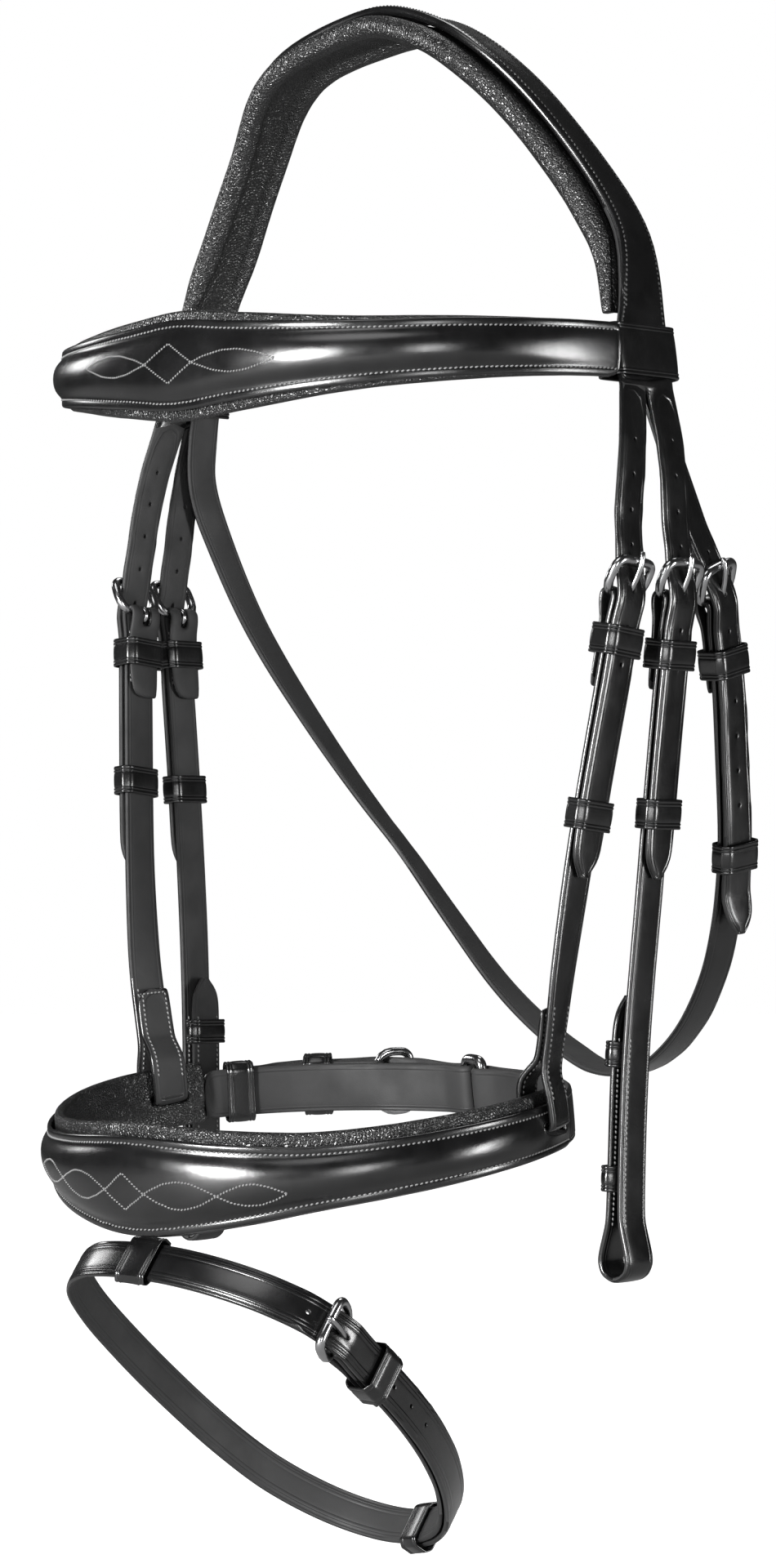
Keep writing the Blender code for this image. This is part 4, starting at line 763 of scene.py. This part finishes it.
class Chart:
    """Places on a band's face, by the length along it from the middle and the height over its middle line."""

    def __init__(self, surface, centre, heights):
        self.surface, self.centre = surface, centre
        self.rows = []
        for k in range(-CHART_ROWS, CHART_ROWS + 1):
            angle = math.radians(k * CHART_STEP)
            found = [z for z in heights if self.cast(angle, z)]
            if not found:
                continue
            middle = (found[0] + found[-1]) / 2
            place = self.cast(angle, middle)[0]
            length = self.rows[-1][0] + (place - self.rows[-1][3]).length if self.rows else 0.0
            self.rows.append((length, angle, middle, place))
        start = min(self.rows, key=lambda row: abs(row[1]))[0]
        self.rows = [(length - start, angle, middle, place) for length, angle, middle, place in self.rows]

    def cast(self, angle, z):
        """The face's place and normal in a direction from the centre, at a height."""
        way = Vector((math.sin(angle), -math.cos(angle), 0.0))
        source = self.centre + way * CHART_FROM + Vector((0, 0, z))
        place, normal, _index, _distance = self.surface.ray_cast(source, -way, CHART_REACH)
        return (place, normal) if place else None

    def at(self, length, height):
        """The face's place and normal at a length along it and a height over its middle line."""
        rows = self.rows
        k = max(min(sum(row[0] < length for row in rows), len(rows) - 1), 1)
        share = (length - rows[k - 1][0]) / (rows[k][0] - rows[k - 1][0])
        angle = rows[k - 1][1] + (rows[k][1] - rows[k - 1][1]) * share
        middle = rows[k - 1][2] + (rows[k][2] - rows[k - 1][2]) * share
        return self.cast(angle, middle + height)


def fancy_runs(chart, eyes, diamond, rise_at, slope):
    """A diamond in the middle with eye shapes on both sides. Eyes are (length, half height) outwards."""
    half, rise = diamond
    lines = []
    for side in (1, -1):
        for up in (1, -1):
            lines.append([(side * half * t / DIAMOND_STEPS, up * rise * (1 - t / DIAMOND_STEPS))
                          for t in range(DIAMOND_STEPS + 1)])
            start = half
            for length, tall in eyes:
                lines.append([(side * (start + length * t / EYE_STEPS),
                               up * tall * math.sin(math.pi * t / EYE_STEPS)) for t in range(EYE_STEPS + 1)])
                start += length
    return [[chart.at(along, height + rise_at + slope * along) for along, height in line] for line in lines]


def padded_lining(node, settings, name):
    """A soft lining: the frame piece's faces divided, filled by a cloth simulation and drawn into small folds."""
    made = solid_of(node)
    narrow_slots(made, regions(made, BAND_BEND))
    bmesh.ops.subdivide_edges(made, edges=made.edges[:], cuts=1, use_grid_fill=True)
    made.normal_update()
    joined = [[edge.other_vert(vert).index for edge in vert.link_edges] for vert in made.verts]
    mesh = bpy.data.meshes.new(name)
    made.to_mesh(mesh)
    made.free()
    scene = bpy.context.scene
    shell = bpy.data.objects.new(name, mesh)
    scene.collection.objects.link(shell)
    for vert in mesh.vertices:
        vert.co -= vert.normal * settings.slack
    start = [vert.co.copy() for vert in mesh.vertices]
    moved = start
    cloth = shell.modifiers.new("Filling", "CLOTH")
    cloth.settings.quality = FILL_QUALITY
    cloth.settings.mass = FILL_MASS
    cloth.settings.use_pressure = True
    cloth.settings.uniform_pressure_force = settings.pressure
    cloth.settings.effector_weights.gravity = 0.0
    cloth.point_cache.frame_start, cloth.point_cache.frame_end = 1, FILL_FRAMES
    for step in range(1, FILL_FRAMES + 1):
        scene.frame_set(step)
    filled = shell.evaluated_get(bpy.context.evaluated_depsgraph_get()).data
    moved = [vert.co.copy() for vert in filled.vertices]
    shell.modifiers.clear()
    scene.frame_set(1)
    pushes = [after - before for before, after in zip(start, moved)]
    for _k in range(FILL_SMOOTH):
        pushes = [(push + sum((pushes[k] for k in near), Vector())) / (len(near) + 1)
                  for push, near in zip(pushes, joined)]
    for vert, before, push in zip(mesh.vertices, start, pushes):
        if push.length > settings.swell:
            push *= settings.swell / push.length
        fold = noise.noise(before * FOLD_SCALE) + FINE_FOLD_SHARE * noise.noise(before * FINE_FOLD_SCALE)
        vert.co = before + push + vert.normal * fold * settings.wrinkle
    rounding = shell.modifiers.new("Rounding", "SUBSURF")
    rounding.levels = rounding.render_levels = 1
    mesh.materials.append(bpy.data.materials["bridle_lining"])
    mesh.shade_smooth()
    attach(shell, NODE_BODY[node])
    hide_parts(node)
    return shell


# Operators

class BRIDLE_OT_materials(bpy.types.Operator):
    """Make the leathers, threads and steel"""

    bl_idname = "bridle.materials"
    bl_label = "Materials"

    def execute(self, context):
        leather, stitch = context.scene.bridle_leather, context.scene.bridle_stitch
        grain, lining, steel = grain_leather(leather), lining_leather(leather), polished_steel()
        flesh_leather(leather)
        thread_material("bridle_pale_thread", stitch.pale)
        thread_material("bridle_dark_thread", stitch.dark)
        for node in frame["nodes"].values():
            slots = node.data.materials
            old = slots[0].name if slots and slots[0] else ""
            slots.clear()
            slots.append(steel if "steel" in old else lining if "lining" in old else grain)
        return {"FINISHED"}


class BRIDLE_OT_straps(bpy.types.Operator):
    """Dress the flat straps with creases, rounded edges, a grain side, a flesh side and their seams"""

    bl_idname = "bridle.straps"
    bl_label = "Straps"

    def execute(self, context):
        leather, stitch = context.scene.bridle_leather, context.scene.bridle_stitch
        once, twice = crease_steps(leather), crease_steps(leather, leather.second_crease)
        sides = ["bridle_grain", "bridle_flesh"]
        for node in ("noseband_hanger_near", "noseband_hanger_off", "cheekpiece_near", "cheekpiece_off",
                     "noseband_ring_tab", "noseband_rear_strap", "noseband_buckle_tab", "throatlash_point"):
            dressed(node, sides, once, STRAP_BEND, 2, HEAD_MIDDLE, border=leather.border)
        dressed("throatlash", sides, once, STRAP_BEND, 2, THROAT_MIDDLE, border=leather.border)
        dressed("flash_strap", sides, twice, STRAP_BEND, 2, CHIN_MIDDLE, border=leather.border)
        inset_by = leather.crease_inset + SEAM_OFFSET
        for node, buckle, low, high in CHAPES:
            middle = middle_of(buckle)
            runs = seam_runs(node, inset_by, lambda p: CHAPE_SEAM[0] < (p - middle).length < CHAPE_SEAM[1])
            runs += seam_runs(node, inset_by, lambda p: low < p.z < high)
            piece = bpy.data.objects[node + "_leather"]
            sew(node + "_seams", runs, NODE_BODY[node], "bridle_pale_thread", surface_of(piece), stitch.pitch,
                stitch.thread, **STRAP_SEAM)
        return {"FINISHED"}


class BRIDLE_OT_headpiece(bpy.types.Operator):
    """Dress the crown leather with its creases, seams and holed points"""

    bl_idname = "bridle.headpiece"
    bl_label = "Headpiece"

    def execute(self, context):
        leather, stitch = context.scene.bridle_leather, context.scene.bridle_stitch
        piece = dressed("headpiece", ["bridle_grain", "bridle_flesh"], crease_steps(leather), BAND_BEND, 1,
                        HEAD_MIDDLE, 1, leather.border)
        runs = seam_runs("headpiece", leather.crease_inset + SEAM_OFFSET, lambda p: p.z > HEADPIECE_SEAM_END,
                         BAND_BEND, lambda group: sum(face.normal.z * face.calc_area() for face in group) > 0)
        sew("headpiece_seams", runs, "headstall", "bridle_dark_thread", surface_of(piece), stitch.pitch,
            stitch.thread, **STRAP_SEAM)
        return {"FINISHED"}


class BRIDLE_OT_faces(bpy.types.Operator):
    """Dress the stitched faces of browband and noseband with their seams and fancy stitching"""

    bl_idname = "bridle.faces"
    bl_label = "Stitched faces"

    def execute(self, context):
        leather, stitch = context.scene.bridle_leather, context.scene.bridle_stitch
        press = pressed_line(leather.crease_width, leather.crease_depth)
        steps = [(leather.flange_inset - leather.crease_width, 0.0)] + press
        for band, eyes, diamond, rise_at, slope in BANDS:
            node = band + "_face"
            body = NODE_BODY[node]
            piece = dressed(node, ["bridle_grain"], steps, BAND_BEND, 2, sides=1)
            surface = surface_of(piece)
            runs = seam_runs(node, leather.flange_inset, lambda p: True, BAND_BEND,
                             lambda group: len(group) > FACE_CELLS)
            long_runs = [run for run in runs if run_length(run) > LONG_RUN]
            sew(band + "_seams", long_runs, body, "bridle_pale_thread", surface, stitch.pitch, stitch.thread,
                **FACE_SEAM)
            low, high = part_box(node)
            centre = Vector((0.0, high.y if band == "browband" else (low.y + high.y) / 2, 0.0))
            heights = [low.z + (high.z - low.z) * k / CHART_HEIGHTS for k in range(CHART_HEIGHTS + 1)]
            fancy = fancy_runs(Chart(surface, centre, heights), eyes, diamond, rise_at, slope)
            sew(band + "_fancy", fancy, body, "bridle_pale_thread", surface, stitch.fancy_pitch,
                stitch.fancy_thread, **FANCY_SEAM)
        return {"FINISHED"}


class BRIDLE_OT_keepers(bpy.types.Operator):
    """Dress the keepers, runners and browband loops"""

    bl_idname = "bridle.keepers"
    bl_label = "Keepers"

    def execute(self, context):
        leather = context.scene.bridle_leather
        press = pressed_line(leather.crease_width, leather.keeper_depth)
        steps = [(leather.keeper_inset, 0.0)] + press + [(leather.keeper_second, 0.0)] + press
        for node in sorted(frame["nodes"]):
            if any(word in node for word in ("keeper", "runner", "loop")):
                dressed(node, ["bridle_grain"], steps, KEEPER_BEND, 2, sides=1)
        return {"FINISHED"}


class BRIDLE_OT_pads(bpy.types.Operator):
    """Fill the soft linings of crown, browband and noseband"""

    bl_idname = "bridle.pads"
    bl_label = "Padded linings"

    def execute(self, context):
        settings = context.scene.bridle_pad
        for node in ("crown_pad", "browband_pad", "noseband_pad"):
            padded_lining(node, settings, node + "_lining")
        return {"FINISHED"}


class BRIDLE_OT_steel(bpy.types.Operator):
    """Round the buckles, tongues and ring"""

    bl_idname = "bridle.steel"
    bl_label = "Buckles"

    def execute(self, context):
        for node in sorted(frame["nodes"]):
            if any(word in node for word in ("buckle", "tongue", "ring")) and not node.endswith("_tab"):
                made = solid_of(node)
                made.normal_update()
                swell = TONGUE_SWELL if "tongue" in node else WIRE_SWELL
                for vert in made.verts:
                    vert.co += vert.normal * swell
                place_piece(node + "_steel", made, NODE_BODY[node], ["bridle_steel"], [node], 2)
        return {"FINISHED"}


class BRIDLE_OT_stage(bpy.types.Operator):
    """Set the camera, lamps, floor and backdrop"""

    bl_idname = "bridle.stage"
    bl_label = "Stage"

    def execute(self, context):
        scene = context.scene
        settings = scene.bridle_stage
        data = bpy.data.cameras.new("camera")
        data.sensor_fit = "VERTICAL"
        data.sensor_height = data.sensor_width = SENSOR
        data.lens = settings.lens
        camera = bpy.data.objects.new("camera", data)
        camera.location = settings.camera_place
        camera.rotation_euler = (math.pi / 2, 0.0, settings.camera_turn)
        scene.collection.objects.link(camera)
        scene.camera = camera
        scene.view_settings.view_transform = "Standard"
        self.world(scene)
        self.floor(scene, settings)
        for name, azimuth, height, distance, width, tall, power in LAMPS:
            lamp = bpy.data.lights.new(name, "AREA")
            lamp.shape = "ELLIPSE"
            lamp.size, lamp.size_y = width, tall
            lamp.energy = power
            made = bpy.data.objects.new(name, lamp)
            turn, up = math.radians(azimuth), math.radians(height)
            way = Vector((math.sin(turn) * math.cos(up), -math.cos(turn) * math.cos(up), math.sin(up)))
            made.location = LAMP_AIM + way * distance
            made.rotation_euler = (-way).to_track_quat("-Z", "Y").to_euler()
            scene.collection.objects.link(made)
        return {"FINISHED"}

    def world(self, scene):
        """A white backdrop that lights the bridle only faintly."""
        world = bpy.data.worlds.new("studio")
        scene.world = world
        world.use_nodes = True
        tree = world.node_tree
        tree.nodes.clear()
        path = tree.nodes.new("ShaderNodeLightPath")
        lit, seen = tree.nodes.new("ShaderNodeBackground"), tree.nodes.new("ShaderNodeBackground")
        lit.inputs["Strength"].default_value = WORLD_LIGHT
        seen.inputs["Color"].default_value = lit.inputs["Color"].default_value = (1.0, 1.0, 1.0, 1.0)
        mix = tree.nodes.new("ShaderNodeMixShader")
        out = tree.nodes.new("ShaderNodeOutputWorld")
        tree.links.new(path.outputs["Is Camera Ray"], mix.inputs["Fac"])
        tree.links.new(lit.outputs[0], mix.inputs[1])
        tree.links.new(seen.outputs[0], mix.inputs[2])
        tree.links.new(mix.outputs[0], out.inputs["Surface"])

    def floor(self, scene, settings):
        """A wide, plain floor."""
        made = bmesh.new()
        bmesh.ops.create_circle(made, cap_ends=True, segments=64, radius=FLOOR_RADIUS,
                                matrix=Matrix.Translation((0.0, 0.0, settings.floor_height)))
        mesh = bpy.data.meshes.new("floor")
        made.to_mesh(mesh)
        made.free()
        floor = bpy.data.objects.new("floor", mesh)
        scene.collection.objects.link(floor)
        nodes = Nodes("studio_floor")
        nodes.shader.inputs["Base Color"].default_value = (*settings.floor, 1.0)
        nodes.shader.inputs["Roughness"].default_value = 0.9
        nodes.shader.inputs["Emission Color"].default_value = (1.0, 1.0, 1.0, 1.0)
        path = nodes.add("ShaderNodeLightPath")
        nodes.join(path.outputs["Is Camera Ray"], nodes.shader.inputs["Emission Strength"])
        mesh.materials.append(nodes.material)


class BRIDLE_PT_panel(bpy.types.Panel):
    """The bridle's sizes and the pieces that can be built"""

    bl_label = "Bridle"
    bl_idname = "BRIDLE_PT_panel"
    bl_space_type = "VIEW_3D"
    bl_region_type = "UI"
    bl_category = "Bridle"

    def draw(self, context):
        for name in SETTINGS:
            group = getattr(context.scene, name)
            for key in group.bl_rna.properties.keys():
                if key not in ("rna_type", "name"):
                    self.layout.prop(group, key)
        for operator in OPERATORS:
            self.layout.operator(operator.bl_idname)


SETTINGS = {"bridle_leather": LeatherSettings, "bridle_stitch": StitchSettings, "bridle_pad": PadSettings,
            "bridle_stage": StageSettings}
OPERATORS = (BRIDLE_OT_materials, BRIDLE_OT_straps, BRIDLE_OT_headpiece, BRIDLE_OT_faces, BRIDLE_OT_keepers,
             BRIDLE_OT_pads, BRIDLE_OT_steel, BRIDLE_OT_stage)
CLASSES = (*SETTINGS.values(), *OPERATORS, BRIDLE_PT_panel)


def register():
    for one in CLASSES:
        bpy.utils.register_class(one)
    for name, group in SETTINGS.items():
        setattr(bpy.types.Scene, name, bpy.props.PointerProperty(type=group))


def unregister():
    for name in SETTINGS:
        delattr(bpy.types.Scene, name)
    for one in reversed(CLASSES):
        bpy.utils.unregister_class(one)


def main():
    register()
    for operator in OPERATORS:
        area, _dot, call = operator.bl_idname.partition(".")
        getattr(getattr(bpy.ops, area), call)()


if __name__ == "__main__":
    main()
